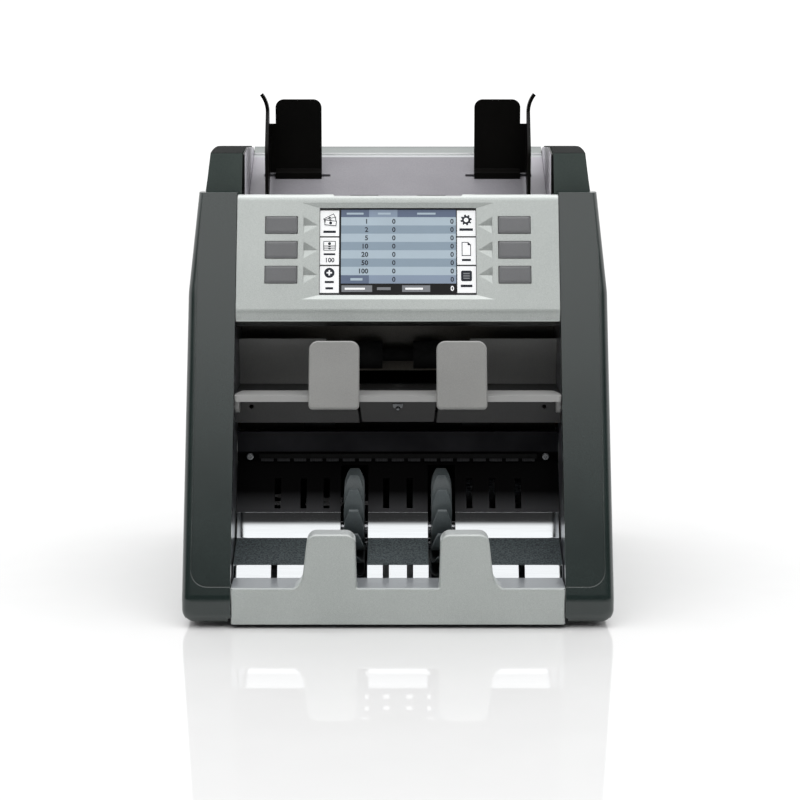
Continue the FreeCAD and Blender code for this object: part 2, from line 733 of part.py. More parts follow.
def antistatic_brush():
    back = BACK_PANEL_Y
    low = BACK_GUIDE_TOP + 4.6
    pieces = [box(-BRUSH_HW, BRUSH_HW, back - BRUSH_BAR, back, low, low + 3)]
    count = int(2 * BRUSH_HW / TUFT_PITCH)
    for index in range(count):
        x = -BRUSH_HW + TUFT_PITCH * (index + 0.5)
        pieces.append(box(x - TUFT_W / 2, x + TUFT_W / 2, back - 1.8, back - 0.6, low - TUFT_H, low))
    return fuse_all(pieces)


# Stacker wheels: a hub with curved blades whose tips are rounded across the width
def wheel_blade(index):
    root = WHEEL_HUB_R - 1.5
    sides = []
    for offset in (-0.5, 0.5):
        side = []
        for share in (0.0, 0.5, 1.0):
            radius = root + (WHEEL_R - root) * share
            turn = 360.0 * index / WHEEL_BLADES + BLADE_SWEEP * share
            thin = BLADE_T * (1.0 - 0.4 * share)
            angle = math.radians(turn) + offset * thin / radius
            side.append(Vector(0, -radius * math.cos(angle), radius * math.sin(angle)))
        sides.append(side)
    first, second = sides
    edges = [Part.Arc(*first).toShape(), Part.LineSegment(first[2], second[2]).toShape(),
             Part.Arc(second[2], second[1], second[0]).toShape(),
             Part.LineSegment(second[0], first[0]).toShape()]
    return Part.Face(Part.Wire(edges)).extrude(Vector(WHEEL_W, 0, 0))


def stacker_wheel(x):
    blades = [wheel_blade(index) for index in range(WHEEL_BLADES)]
    hub = rod_x(0, WHEEL_W, (0, 0), WHEEL_HUB_R)
    wheel = fuse_all([hub] + blades)
    shoulder = WHEEL_R * 0.74
    tip = WHEEL_W * 0.28
    start = Vector(0, 0, 0)
    profile = [Part.LineSegment(start, Vector(WHEEL_W, 0, 0)).toShape(),
               Part.LineSegment(Vector(WHEEL_W, 0, 0), Vector(WHEEL_W, 0, shoulder)).toShape(),
               Part.Arc(Vector(WHEEL_W, 0, shoulder), Vector(WHEEL_W - tip * 0.4, 0, WHEEL_R * 0.91),
                        Vector(WHEEL_W - tip, 0, WHEEL_R)).toShape(),
               Part.LineSegment(Vector(WHEEL_W - tip, 0, WHEEL_R), Vector(tip, 0, WHEEL_R)).toShape(),
               Part.Arc(Vector(tip, 0, WHEEL_R), Vector(tip * 0.4, 0, WHEEL_R * 0.91),
                        Vector(0, 0, shoulder)).toShape(),
               Part.LineSegment(Vector(0, 0, shoulder), start).toShape()]
    envelope = Part.Face(Part.Wire(profile)).revolve(ORIGIN, X_AXIS, 360)
    wheel = wheel.common(envelope)
    bore = rod_x(-1, WHEEL_W + 1, (0, 0), SHAFT_R + FIT_GAP)
    wheel = wheel.cut(bore)
    wheel.translate(Vector(x - WHEEL_W / 2, STACKER[0], STACKER[1]))
    return wheel


# Reject pocket: bent black tray, side back plates and the sprung stopper
SENSOR_HW = 24.5
SENSOR_GAP = 1.6
SENSOR_SLANT = 2.2
SKIRT_HOLE_X = 91.5
SKIRT_HOLE_Z = 8.0
SKIRT_HOLE_R = 1.3


def reject_tray():
    y0 = FRONT + REJECT_FRONT
    y1 = FRONT + REJECT_BACK + 2.0
    t = SHEET_T
    low = REJECT_Z - SKIRT_H
    points = [(y0, low), (y0, REJECT_Z), (y1, REJECT_Z), (y1, REJECT_Z - t), (y0 + t, REJECT_Z - t),
              (y0 + t, low)]
    tray = extrude_x(points, -SHEET_HW, SHEET_HW)
    gap = SENSOR_HW + SENSOR_GAP
    notch = [(-gap, REJECT_Z - t), (gap, REJECT_Z - t), (gap - SENSOR_SLANT, low - 1),
             (SENSOR_SLANT - gap, low - 1)]
    tray = tray.cut(extrude_y(notch, y0 - 1, y0 + t + 0.1))
    hole = rod_y(y0 - 1, y0 + t + 1, SKIRT_HOLE_X, REJECT_Z - SKIRT_HOLE_Z, SKIRT_HOLE_R)
    tray = cut_all(tray, with_mirror([hole]))
    block = [(-SENSOR_HW, REJECT_Z - t), (SENSOR_HW, REJECT_Z - t), (SENSOR_HW - SENSOR_SLANT, low + 0.3),
             (SENSOR_SLANT - SENSOR_HW, low + 0.3)]
    cover = extrude_y(block, y0 + 1.0, y0 + 5.0)
    return fuse_all([tray, cover])


BACK_PLATE_IN = 46.0
BACK_PLATE_H = 30.0


def reject_back_plate():
    y = FRONT + REJECT_BACK
    low = REJECT_Z + 0.2
    top = low + BACK_PLATE_H
    points = [(y, low), (y + SHEET_T, low), (y + SHEET_T - 4, top), (y - 4, top)]
    return extrude_x(points, BACK_PLATE_IN, SHEET_HW, 0)


BAR_HW = OPEN_HW - 0.5
BAR_CHAMFER = 3.5
LUG_W = 2.5
LUG_R = 4.0


def reject_stopper():
    y0 = FRONT + BAR_FRONT
    y1 = FRONT + BAR_BACK
    z0 = REJECT_Z - 1.0
    bar_points = [(-BAR_HW, y0), (BAR_HW, y0), (BAR_HW, y0 + 9), (BAR_HW - BAR_CHAMFER, y1),
                  (BAR_CHAMFER - BAR_HW, y1), (-BAR_HW, y0 + 9)]
    pieces = [extrude_z(bar_points, z0, z0 + BAR_T, [2, 2, 0, 2, 2, 0])]
    lug = extrude_x([(PIVOT[0] - LUG_R, z0 + 1), (PIVOT[0] - LUG_R, PIVOT[1] - LUG_R),
                     (PIVOT[0] + LUG_R, PIVOT[1] - LUG_R), (PIVOT[0] + LUG_R, z0 + 1)],
                    BAR_HW - LUG_W, BAR_HW, [0, LUG_R - 0.1, LUG_R - 0.1, 0])
    pin = rod_x(BAR_HW - 0.5, FRAME_OUT, PIVOT, PIVOT_R)
    pieces += with_mirror([lug, pin])
    pieces += with_mirror([stop_plate()])
    return fuse_all(pieces)


# One of the two leaning paddles, with a bevelled rim on its face
def stop_plate():
    low = (REJECT_Z - 5.5 - SCREEN_Z) / COS_LEAN
    points = [(STOP_X - STOP_W / 2, low), (STOP_X + STOP_W / 2, low), (STOP_X + STOP_W / 2, low + STOP_H),
              (STOP_X - STOP_W / 2, low + STOP_H)]
    back = STOP_PROUD - STOP_T
    plate = extrude_z(points, back, STOP_PROUD, [2.5, 2.5, 5.5, 5.5])
    rim = [edge for edge in plate.Edges if edge.BoundBox.ZMin > STOP_PROUD - 0.01]
    plate = plate.makeChamfer(0.9, rim)
    heel_v = (REJECT_Z - 1.0 + BAR_T / 2 - SCREEN_Z) / COS_LEAN
    heel_hw = STOP_W / 2 - 3
    heel = box(STOP_X - heel_hw, STOP_X + heel_hw, heel_v - 1.2, heel_v + 1.2, back - 4, back + 1)
    return on_bezel(fuse_all([plate, heel]))


# Hopper: floor with slots, side cheeks, sliding guides with racks, and the pinion between them
SLOT_GAP = 0.5
STEM_T = 1.8
RACK_TOP_N = -FLOOR_T - 1.0
RACK_LOW_N = RACK_TOP_N - RACK_T
RACK_BACK = 5.0
ADDENDUM = 0.8 * RACK_MODULE
DEDENDUM = 1.1 * RACK_MODULE
TOOTH_SLACK = 0.24
PINION_BORE_R = 2.2
PINION_V = PINION_W
PICKUP_ROLLERS = (14.0, 30.0)
FEED_ROLLERS = (10.0, 42.0)


def floor_local(centre):
    return (centre[0] - GUIDE_Y) / FLOOR_COS + (centre[1] - floor_z(centre[0])) * FLOOR_SIN


def roller_window(centre, span, radius):
    v = floor_local(centre)
    half = math.sqrt(radius ** 2 - (radius - ROLLER_PROUD - FLOOR_T) ** 2) + 1.0
    return box(span[0] - 1.2, span[1] + 1.2, v - half, v + half, -FLOOR_T - 1, 1)


def hopper_floor():
    plate = box(-FLOOR_HW, FLOOR_HW, -FLOOR_FRONT, FLOOR_BACK, -FLOOR_T, 0)
    half = STEM_T / 2 + SLOT_GAP
    slot = box(STEM_X - GUIDE_INWARD - 1, STEM_X + STEM_W + GUIDE_OUT + 1, -half, half, -FLOOR_T - 1, 1)
    tools = [slot, roller_window(PICKUP, PICKUP_ROLLERS, PICKUP_R), roller_window(FEED, FEED_ROLLERS, FEED_R)]
    plate = cut_all(plate, with_mirror(tools))
    stud = Part.makeCylinder(PINION_BORE_R - RUN_GAP, RACK_T + 2.0, Vector(0, PINION_V, RACK_LOW_N - 0.5))
    return on_floor(fuse_all([plate, stud]))


def hopper_cheek():
    x0 = HOPPER_HW
    y0 = FEED[0] - 10.5
    y1 = PICKUP[0] - 1.0
    low = PICKUP[1] + SHAFT_R + 0.9
    drop = floor_z(y1) - low
    slope = (EAR_TOP - EAR_REAR_Z) / (REAR - 6 - EAR_LEVEL_END)
    y2 = EAR_LEVEL_END + (EAR_TOP - 1.0 - low) / slope
    brow, crest, level_end = ear_top_line(0, 0.8)
    points = [(y0, floor_z(y0) - drop), (y1, low), (y2 - 4, low), (level_end[0] - 2, level_end[1]),
              crest, (max(brow[0], y0) + 2, brow[1])]
    return extrude_x(points, x0, x0 + CHEEK_T, [0, 0, 0, 12, 20, 1.0])


# A straight rack on the local X axis, with teeth on one side of its pitch line
def rack_bar(x0, x1, pitch_v, side, phase):
    pitch = math.pi * RACK_MODULE
    half_tooth = pitch / 4 - TOOTH_SLACK / 2
    slant = math.tan(math.radians(20))
    root = pitch_v - side * DEDENDUM
    tip = pitch_v + side * ADDENDUM
    bar_low, bar_high = sorted((root, root - side * RACK_BACK))
    pieces = [box(x0, x1, bar_low, bar_high, RACK_LOW_N, RACK_TOP_N)]
    first = math.ceil((x0 - phase) / pitch + 0.5)
    last = math.floor((x1 - phase) / pitch - 0.5)
    for index in range(first, last + 1):
        x = phase + index * pitch
        wide = half_tooth + DEDENDUM * slant
        thin = half_tooth - ADDENDUM * slant
        sunk = root - side * 0.5
        points = [(x - wide, sunk), (x - wide, root), (x - thin, tip), (x + thin, tip), (x + wide, root),
                  (x + wide, sunk)]
        pieces.append(extrude_z(points, RACK_LOW_N, RACK_TOP_N))
    return fuse_all(pieces)


# Pinion with involute flanks; a tooth space faces the rack below and a tooth the rack above
def guide_pinion():
    base_r = PITCH_R * math.cos(math.radians(20))
    root_r = PITCH_R - DEDENDUM
    tip_r = PITCH_R + ADDENDUM
    half_tooth = math.pi / (2 * PINION_TEETH) - TOOTH_SLACK / (2 * PITCH_R)
    pressure = math.radians(20)
    at_pitch = math.tan(pressure) - pressure
    teeth = []
    for index in range(PINION_TEETH):
        centre = math.pi / 2 + 2 * math.pi * index / PINION_TEETH
        flank = [(root_r - 0.5, half_tooth + at_pitch)]
        for step in range(5):
            radius = max(base_r, root_r) + (tip_r - max(base_r, root_r)) * step / 4
            roll = math.sqrt(max((radius / base_r) ** 2 - 1, 0))
            flank.append((radius, half_tooth + at_pitch - (roll - math.atan(roll))))
        polar = [(r, centre + a) for r, a in flank] + [(r, centre - a) for r, a in reversed(flank)]
        points = [(r * math.cos(a), PINION_V + r * math.sin(a)) for r, a in polar]
        teeth.append(extrude_z(points, RACK_LOW_N, RACK_TOP_N))
    disc = Part.makeCylinder(root_r, RACK_T, Vector(0, PINION_V, RACK_LOW_N))
    gear = fuse_all([disc] + teeth)
    bore = Part.makeCylinder(PINION_BORE_R, RACK_T + 2, Vector(0, PINION_V, RACK_LOW_N - 1))
    return on_floor(gear.cut(bore))


# The outward curl at the top of a guide's side plate
def guide_flare(y0, y1, bend):
    radius = (GUIDE_FLARE_H ** 2 + GUIDE_FLARE ** 2) / (2 * GUIDE_FLARE)
    centre = GUIDE_SIDE_X + radius
    swing = math.asin(GUIDE_FLARE_H / radius)
    inner, outer = [], []
    for share in (0.0, 0.5, 1.0):
        a = swing * share
        inner.append(Vector(centre - radius * math.cos(a), y0, bend + radius * math.sin(a)))
        thin = radius - GUIDE_SIDE_T
        outer.append(Vector(centre - thin * math.cos(a), y0, bend + thin * math.sin(a)))
    edges = [Part.Arc(*inner).toShape(), Part.LineSegment(inner[2], outer[2]).toShape(),
             Part.Arc(*outer[::-1]).toShape(), Part.LineSegment(outer[0], inner[0]).toShape()]
    return Part.Face(Part.Wire(edges)).extrude(Vector(0, y1 - y0, 0))


# A hopper guide on the +X side: facing plate, side plate with a flared top, web, stem and rack tab
def guide_plates():
    y0 = GUIDE_Y
    y1 = GUIDE_Y + GUIDE_T
    low = floor_z(y1) + PART_GAP
    top = BODY_H + GUIDE_TOP
    x1 = GUIDE_IN + GUIDE_PLATE_W
    face = extrude_y([(GUIDE_IN, low), (x1, low), (x1, top), (GUIDE_IN, top)], y0, y1, [0, 0, 5.5, 5.5])
    web = box(x1 - 1, GUIDE_SIDE_X + 2.4, y0, y1, low, BODY_H + GUIDE_TOP / 2)
    bend = BODY_H + GUIDE_SIDE_TOP - GUIDE_FLARE_H
    reach = GUIDE_Y - GUIDE_REACH
    lower = [(reach, floor_z(reach) + PART_GAP), (y1, low), (y1, bend), (y1 - 14, bend), (reach, bend - 24)]
    side = extrude_x(lower, GUIDE_SIDE_X, GUIDE_SIDE_X + GUIDE_SIDE_T, [2, 0, 0, 0, 12])
    side = fuse_all([side, guide_flare(y1 - 14, y1, bend)])
    side.rotate(Vector(GUIDE_SIDE_X, reach, 0), Vector(0, 0, 1), -GUIDE_TOE)
    foot = extrude_x([(y0 - 4, floor_z(y0 - 4) + PART_GAP), (y0 + 1, floor_z(y0 + 1) + PART_GAP),
                      (y0 + 1, floor_z(y0) + 5), (y0 - 4, floor_z(y0) + 2)], GUIDE_IN, x1)
    return fuse_all([face, web, side, foot])


def hopper_guide(is_left):
    side = 1 if is_left else -1
    pitch_v = PINION_V + side * PITCH_R
    reach = PITCH_R + GUIDE_OUT
    bar = rack_bar(-reach, STEM_X + STEM_W, pitch_v, -side, rack_phase(is_left))
    far_v = pitch_v + side * (DEDENDUM + RACK_BACK)
    low, high = sorted((far_v, -STEM_T / 2))
    if not is_left:
        high = pitch_v - DEDENDUM - 0.1
        low = -STEM_T / 2
    tab = box(STEM_X, STEM_X + STEM_W, low, high, RACK_LOW_N, RACK_TOP_N)
    stem = box(STEM_X, STEM_X + STEM_W, -STEM_T / 2, STEM_T / 2, RACK_LOW_N + 1, 3.2)
    rack = on_floor(fuse_all([bar, tab, stem]))
    guide = fuse_all([guide_plates(), rack])
    return mirrored(guide) if is_left else guide


# Teeth of the upper rack mesh beside the pinion's top tooth, those of the lower rack with its bottom
def rack_phase(is_left):
    pitch = math.pi * RACK_MODULE
    bottom_is_tooth = PINION_TEETH % 2 == 0
    if is_left or bottom_is_tooth:
        return pitch / 2
    return 0.0


# Rear: silver top cover, hinged door with pinch rollers, and the panel with the sockets
TOP_COVER_HW = HOPPER_HW - 0.4
DOOR_TOP = BODY_H - DOOR_TOP_DROP
DOOR_HW = HALF_W - REAR_STRIP_W - 0.6
DOOR_PIN_R = 2.0
TONGUE_LIP = 3.3
BRACKET_X = 84.0
BRACKET_T = 2.0
RIM_Y = GUIDE_Y + FLOOR_BACK * FLOOR_COS
RIM_RISE = 4.9
RIM_WALL = 3.1
RIM_ROUND = 0.9


def rear_top_cover():
    t = COVER_WALL
    y0 = RIM_Y + FLOOR_T * FLOOR_SIN + PART_GAP
    top = EAR_TOP
    end_y = REAR - 8.0
    slope = (EAR_TOP - EAR_REAR_Z) / (REAR - 6 - EAR_LEVEL_END)
    knee_y = EAR_LEVEL_END + 2
    end_z = top - (end_y - knee_y) * slope
    apex = top + RIM_ROUND
    climb = (apex - top + RIM_RISE) / (knee_y - y0)
    inner_z = top - RIM_RISE + t * climb - 1.2 * t
    low = top - RIM_RISE - RIM_WALL
    points = [(y0, low), (y0, top - RIM_RISE), (knee_y, apex), (end_y, end_z), (end_y, DOOR_TOP + 1),
              (end_y - t, DOOR_TOP + 1), (end_y - t, end_z - t), (knee_y, apex - 1.3 * t), (y0 + t, inner_z),
              (y0 + t, low)]
    return extrude_x(points, -TOP_COVER_HW, TOP_COVER_HW, [0, 1.6, 5, 4, 0, 0, 2, 2, 0, 0])


VENT_COUNT = 9
VENT_W = 4.0
VENT_PITCH = 9.0


def rear_door():
    y1 = REAR - 2.5
    y0 = y1 - DOOR_T
    top_y = REAR - 8.0
    knee = DOOR_TOP - 16
    points = [(y0, DOOR_BOTTOM), (y1, DOOR_BOTTOM), (y1, knee), (top_y, DOOR_TOP), (top_y - DOOR_T, DOOR_TOP),
              (y0, knee)]
    panel = extrude_x(points, -DOOR_HW, DOOR_HW, [0, 2, 8, 1, 0, 6])
    vents = []
    for index in range(VENT_COUNT):
        z = DOOR_BOTTOM + 18 + VENT_PITCH * index
        vents.append(box(-50, 50, y0 - 1, y1 + 1, z, z + VENT_W))
    grip = box(-26, 26, y1 - 1.2, y1 + 1, knee - 22, knee - 8)
    panel = cut_all(panel, vents + [grip])
    upper, lower = PINCHES
    bracket = extrude_x([(y0 + 0.5, lower[1] - 14), (y0 + 0.5, upper[1] + 16), (upper[0] + 4, upper[1] + 9),
                         (upper[0] - 5, upper[1] + 7), (lower[0] - 5, lower[1] - 8)],
                        BRACKET_X, BRACKET_X + BRACKET_T, [0, 0, 3, 3, 3])
    for centre in PINCHES:
        bracket = bracket.cut(rod_x(0, DOOR_HW, centre, PINCH_R / 2 + RUN_GAP))
    bracket = bracket.cut(rod_x(0, DOOR_HW, DRUM, DRUM_R + 1.5))
    knuckle = extrude_x([(DOOR_HINGE[0] - 4, DOOR_HINGE[1] - 3.5), (y0 + 0.5, DOOR_HINGE[1] - 3.5),
                         (y0 + 0.5, DOOR_HINGE[1] + 6), (DOOR_HINGE[0] - 4, DOOR_HINGE[1] + 4)],
                        DOOR_HW - 6, DOOR_HW, [2, 0, 0, 2])
    pin = rod_x(DOOR_HW - 0.5, FRAME_OUT, DOOR_HINGE, DOOR_PIN_R)
    return fuse_all([panel] + with_mirror([bracket, knuckle, pin]))


def pinch_roller(centre):
    reach = BRACKET_X + BRACKET_T
    pieces = [rod_x(-reach, reach, centre, PINCH_R / 2)]
    for x in (-60.0, -20.0, 20.0, 60.0):
        pieces.append(rod_x(x - 8, x + 8, centre, PINCH_R))
    return fuse_all(pieces)


INLET_HW = 13.5
INLET_HH = 9.8
SWITCH_HW = 6.6
SWITCH_HH = 9.9
PORT_HW = 15.5
PORT_HH = 6.0
PANEL_Y = REAR - 2.5
PANEL_T = 2.0
FLANGE_OUT = 1.6


def socket_opening(x, half_w, half_h):
    return box(x - half_w, x + half_w, PANEL_Y - PANEL_T - 1, PANEL_Y + 1,
               SOCKET_Z - half_h, SOCKET_Z + half_h)


def rear_lower_panel():
    plate = box(-DOOR_HW, DOOR_HW, PANEL_Y - PANEL_T, PANEL_Y, PLATE_Z, DOOR_BOTTOM - 2.2)
    return cut_all(plate, [socket_opening(INLET_X, INLET_HW, INLET_HH),
                           socket_opening(SWITCH_X, SWITCH_HW, SWITCH_HH),
                           socket_opening(PORT_X, PORT_HW, PORT_HH)])


# A moulded socket with a flange outside the panel and a cavity open to the rear
def socket_shell(x, half_w, half_h, rim_w, rim_h, deep, wall):
    g = FIT_GAP
    body = box(x - half_w + g, x + half_w - g, PANEL_Y - deep, PANEL_Y + 0.1, SOCKET_Z - half_h + g,
               SOCKET_Z + half_h - g)
    flange = box(x - half_w - rim_w, x + half_w + rim_w, PANEL_Y, PANEL_Y + FLANGE_OUT,
                 SOCKET_Z - half_h - rim_h, SOCKET_Z + half_h + rim_h)
    cavity = box(x - half_w + wall, x + half_w - wall, PANEL_Y - deep + wall, REAR + 1,
                 SOCKET_Z - half_h + wall, SOCKET_Z + half_h - wall)
    return body.fuse(flange).cut(cavity)


ROCKER_R = 10.5
ROCKER_DEEP = 7.0
ROCKER = (PANEL_Y - ROCKER_DEEP, SOCKET_Z)
ROCKER_PIN_R = 1.5
SWITCH_WALL = 1.2
SWITCH_BODY = 18.0


def rear_sockets():
    inlet = socket_shell(INLET_X, INLET_HW, INLET_HH, 11.0, 2.4, 20.0, 1.6)
    pins = [box(INLET_X + dx - 1, INLET_X + dx + 1, PANEL_Y - 19, PANEL_Y - 5,
                SOCKET_Z + dz - 2, SOCKET_Z + dz + 2)
            for dx, dz in ((-7, -2), (0, 2), (7, -2))]
    inlet = fuse_all([inlet] + pins)
    switch = socket_shell(SWITCH_X, SWITCH_HW, SWITCH_HH, 1.6, 1.6, SWITCH_BODY, SWITCH_WALL)
    pin_holes = rod_x(SWITCH_X - SWITCH_HW, SWITCH_X + SWITCH_HW, ROCKER, ROCKER_PIN_R + RUN_GAP)
    port = socket_shell(PORT_X, PORT_HW, PORT_HH, 2.0, 2.0, 10.0, 2.0)
    return [inlet, switch.cut(pin_holes), port]


# Rocker: a round-backed key tilted about its pin, with two flats that meet at a ridge
def power_switch():
    half = SWITCH_HW - SWITCH_WALL - PART_GAP
    high = SWITCH_HH - SWITCH_WALL - 3 * PART_GAP
    y, z = ROCKER
    points = [(y - 5, z - 3), (y + 5.6, z - high + 0.4), (y + 8.4, z - high + 1.0), (y + 7.4, z),
              (y + 6.6, z + high - 0.6), (y + 4.6, z + high - 0.4), (y - 5, z + 3)]
    key = extrude_x(points, SWITCH_X - half, SWITCH_X + half, [1, 0.5, 0.8, 6, 0.6, 0.5, 1])
    pin = rod_x(SWITCH_X - SWITCH_HW + 0.3, SWITCH_X + SWITCH_HW - 0.3, ROCKER, ROCKER_PIN_R)
    return fuse_all([key, pin])


# Side frames, base, spacers and bushes
SHAFTS = [STACKER, DRUM, EXIT, LOWER, UPPER, FEED, PICKUP]
FRAME_BACK = REAR - 13.0
FRAME_TOP = PICKUP[1] + 10.0
SPACER_R = 4.0
SPACERS = [(FRONT + 132.0, 20.0), (DRUM[0] - 10.0, REJECT_Z - 45.0),
           (FEED_MOTOR[0] + 27.0, FEED_MOTOR[1] + 7.0)]


def side_frame(is_right):
    low = PLATE_Z
    lead = RETURN_D + 0.6
    points = [(slope_y(KNEE_Z) + lead, low), (slope_y(KNEE_Z) + lead, KNEE_Z),
              (slope_y(FRAME_TOP) + lead, FRAME_TOP), (FRAME_BACK - 20, FRAME_TOP),
              (FRAME_BACK, EAR_REAR_Z - 20), (FRAME_BACK, low)]
    tongue = [(FRAME_BACK - 1, DOOR_HINGE[1] - 8), (DOOR_HINGE[0] + TONGUE_LIP, DOOR_HINGE[1] - 8),
              (DOOR_HINGE[0] + TONGUE_LIP, DOOR_HINGE[1] + 8), (FRAME_BACK - 1, DOOR_HINGE[1] + 8)]
    plate = extrude_x(points, FRAME_X, FRAME_OUT, [4, 4, 8, 10, 10, 4])
    plate = plate.fuse(extrude_x(tongue, FRAME_X, FRAME_OUT, [0, 2, 2, 0])).removeSplitter()
    holes = [rod_x(0, HALF_W, centre, BUSH_R + FIT_GAP) for centre in SHAFTS]
    holes.append(rod_x(0, HALF_W, PIVOT, PIVOT_R + RUN_GAP))
    holes.append(rod_x(0, HALF_W, DOOR_HINGE, DOOR_PIN_R + RUN_GAP))
    holes.append(rod_x(0, HALF_W, DIVERTER, DIVERTER_R + RUN_GAP))
    holes.append(rod_x(0, HALF_W, RETARD, SHAFT_R + FIT_GAP))
    if is_right:
        holes.append(rod_x(0, HALF_W, MOTOR, MOTOR_BOSS_R + FIT_GAP))
        holes.append(rod_x(0, HALF_W, FEED_MOTOR, MOTOR_BOSS_R + FIT_GAP))
    plate = cut_all(plate, holes)
    return plate if is_right else mirrored(plate)


def shaft_bushes():
    x0 = FRAME_X - 1.0
    rings = [tube_x(x0, x0 + BUSH_L, centre, BUSH_R, SHAFT_R + RUN_GAP) for centre in SHAFTS]
    return with_mirror(rings)


def frame_spacers():
    return [rod_x(-FRAME_X, FRAME_X, centre, SPACER_R) for centre in SPACERS]


FOOT_R = 9.0
FOOT_INSET = 26.0
FLANGE_H = 11.0


def base_plate():
    half = HALF_W - 12.0
    front = FRONT + UPRIGHT_T + PART_GAP
    points = [(-half, front), (half, front), (half, REAR - 5), (-half, REAR - 5)]
    plate = extrude_z(points, FOOT_H, PLATE_Z, 8)
    wall = box(FRAME_OUT, FRAME_OUT + BASE_T, FRONT + 40, FRAME_BACK - 10, PLATE_Z - 0.5, PLATE_Z + FLANGE_H)
    return fuse_all([plate] + with_mirror([wall]))


def rubber_feet():
    feet = []
    for y in (FRONT + FOOT_INSET, REAR - FOOT_INSET):
        feet.append(Part.makeCone(FOOT_R - 1.0, FOOT_R, FOOT_H, Vector(HALF_W - FOOT_INSET - 12, y, 0)))
    return with_mirror(feet)


# Rollers, pulleys and belts; every shaft ends in a pulley outside the right frame
PULLEY_X = FRAME_OUT + 4.0
LAYER_X = PULLEY_X + BELT_W + 2.0
SHAFT_END = -FRAME_OUT - 2.5
MAIN_PULLEYS = {"motor": (MOTOR, 9.0), "drum": (DRUM, 22.0), "stacker": (STACKER, WHEEL_R - 6.0)}
SECOND_PULLEYS = {"drum": (DRUM, 12.0), "lower": (LOWER, 9.0), "exit": (EXIT, 15.0), "upper": (UPPER, 9.0)}
FEED_PULLEYS = {"motor": (FEED_MOTOR, 7.0), "pickup": (PICKUP, 10.0), "feed": (FEED, 10.0)}


def pulley(pulleys, name, x):
    centre, radius = pulleys[name]
    return rod_x(x, x + BELT_W, centre, radius)


def roller_shaft(centre, radius, spans, pulleys):
    end = max(x for _, _, x in pulleys) + BELT_W + 0.5
    pieces = [rod_x(SHAFT_END, end, centre, SHAFT_R)]
    for low, high in spans:
        pieces.append(rod_x(low, high, centre, radius))
        pieces.append(rod_x(-high, -low, centre, radius))
    for group, name, x in pulleys:
        pieces.append(pulley(group, name, x))
    return fuse_all(pieces)


# A flat belt round its pulleys: the outer tangents of the circles, taken in order
def belt(pulleys, order, x):
    inner = belt_wire(pulleys, order, BELT_GAP, x)
    outer = belt_wire(pulleys, order, BELT_GAP + BELT_T, x)
    width = Vector(BELT_W - 0.6, 0, 0)
    return Part.Face(outer).extrude(width).cut(Part.Face(inner).extrude(width))


def belt_wire(pulleys, order, grow, x):
    circles = [(pulleys[name][0], pulleys[name][1] + grow) for name in order]
    normals = []
    for (a, ra), (b, rb) in zip(circles, circles[1:] + circles[:1]):
        run = math.atan2(b[1] - a[1], b[0] - a[0])
        length = math.hypot(b[0] - a[0], b[1] - a[1])
        normals.append(run + math.acos((ra - rb) / length))
    edges = []
    for index, ((centre, radius), leave) in enumerate(zip(circles, normals)):
        arrive = normals[index - 1]
        turn = (arrive - leave) % (2 * math.pi)
        spots = [arrive, arrive - turn / 2, leave]
        arc = [Vector(x + 0.3, centre[0] + radius * math.cos(a), centre[1] + radius * math.sin(a))
               for a in spots]
        edges.append(Part.Arc(*arc).toShape())
        following, next_radius = circles[(index + 1) % len(circles)]
        meet = Vector(x + 0.3, following[0] + next_radius * math.cos(leave),
                      following[1] + next_radius * math.sin(leave))
        edges.append(Part.LineSegment(arc[2], meet).toShape())
    return Part.Wire(edges)


def drive_belts():
    return [belt(MAIN_PULLEYS, ("stacker", "drum", "motor"), LAYER_X),
            belt(SECOND_PULLEYS, ("lower", "exit", "upper", "drum"), PULLEY_X),
            belt(FEED_PULLEYS, ("feed", "pickup", "motor"), PULLEY_X)]


MOTOR_L = 58.0
FEED_MOTOR_L = 44.0
MOTOR_BOSS_R = 6.0
MOTOR_SHAFT_R = 2.5


def motor(centre, radius, length):
    body = rod_x(FRAME_X - length, FRAME_X, centre, radius)
    boss = rod_x(FRAME_X - 1, FRAME_OUT + 1, centre, MOTOR_BOSS_R)
    bore = rod_x(FRAME_X - length / 2, HALF_W, centre, MOTOR_SHAFT_R + RUN_GAP)
    return fuse_all([body, boss]).cut(bore)


def motor_rotor(pulleys, length, x):
    centre, radius = pulleys["motor"]
    spindle = rod_x(FRAME_X - length / 2 + 0.5, x + BELT_W + 1, centre, MOTOR_SHAFT_R)
    return spindle.fuse(rod_x(x, x + BELT_W, centre, radius)).removeSplitter()


def retard_roller():
    pieces = [rod_x(-FRAME_OUT, FRAME_OUT, RETARD, SHAFT_R)]
    for x in (-16.0, 16.0):
        pieces.append(rod_x(x - 6, x + 6, RETARD, RETARD_R))
    return fuse_all(pieces)


DIVERTER_R = 3.0
DIVERTER_HW = 88.0


def diverter_gate():
    y, z = DIVERTER
    blade = [(y - 2.5, z - 1), (y + 13, z + 7.2), (y + 13.2, z + 8), (y - 1, z + 2.9)]
    shaft = rod_x(-FRAME_OUT - 3, FRAME_OUT + 3, DIVERTER, DIVERTER_R)
    return shaft.fuse(extrude_x(blade, -DIVERTER_HW, DIVERTER_HW)).removeSplitter()


# Electronics
SENSOR_H = 12.0
SENSOR_D = 20.0


def image_sensor():
    low = DRUM[1] + DRUM_R + 1.5
    bar = box(-90, 90, DRUM[0] - SENSOR_D / 2, DRUM[0] + SENSOR_D / 2, low, low + SENSOR_H)
    tab = box(-SHEET_HW, SHEET_HW, DRUM[0] - 4, DRUM[0] + 4, low + 2, low + SENSOR_H - 2)
    return fuse_all([bar, tab])


MAIN_BOARD_X = FRAME_OUT + 8.0
MAIN_BOARD_D = 80.0
MAIN_BOARD_H = 100.0


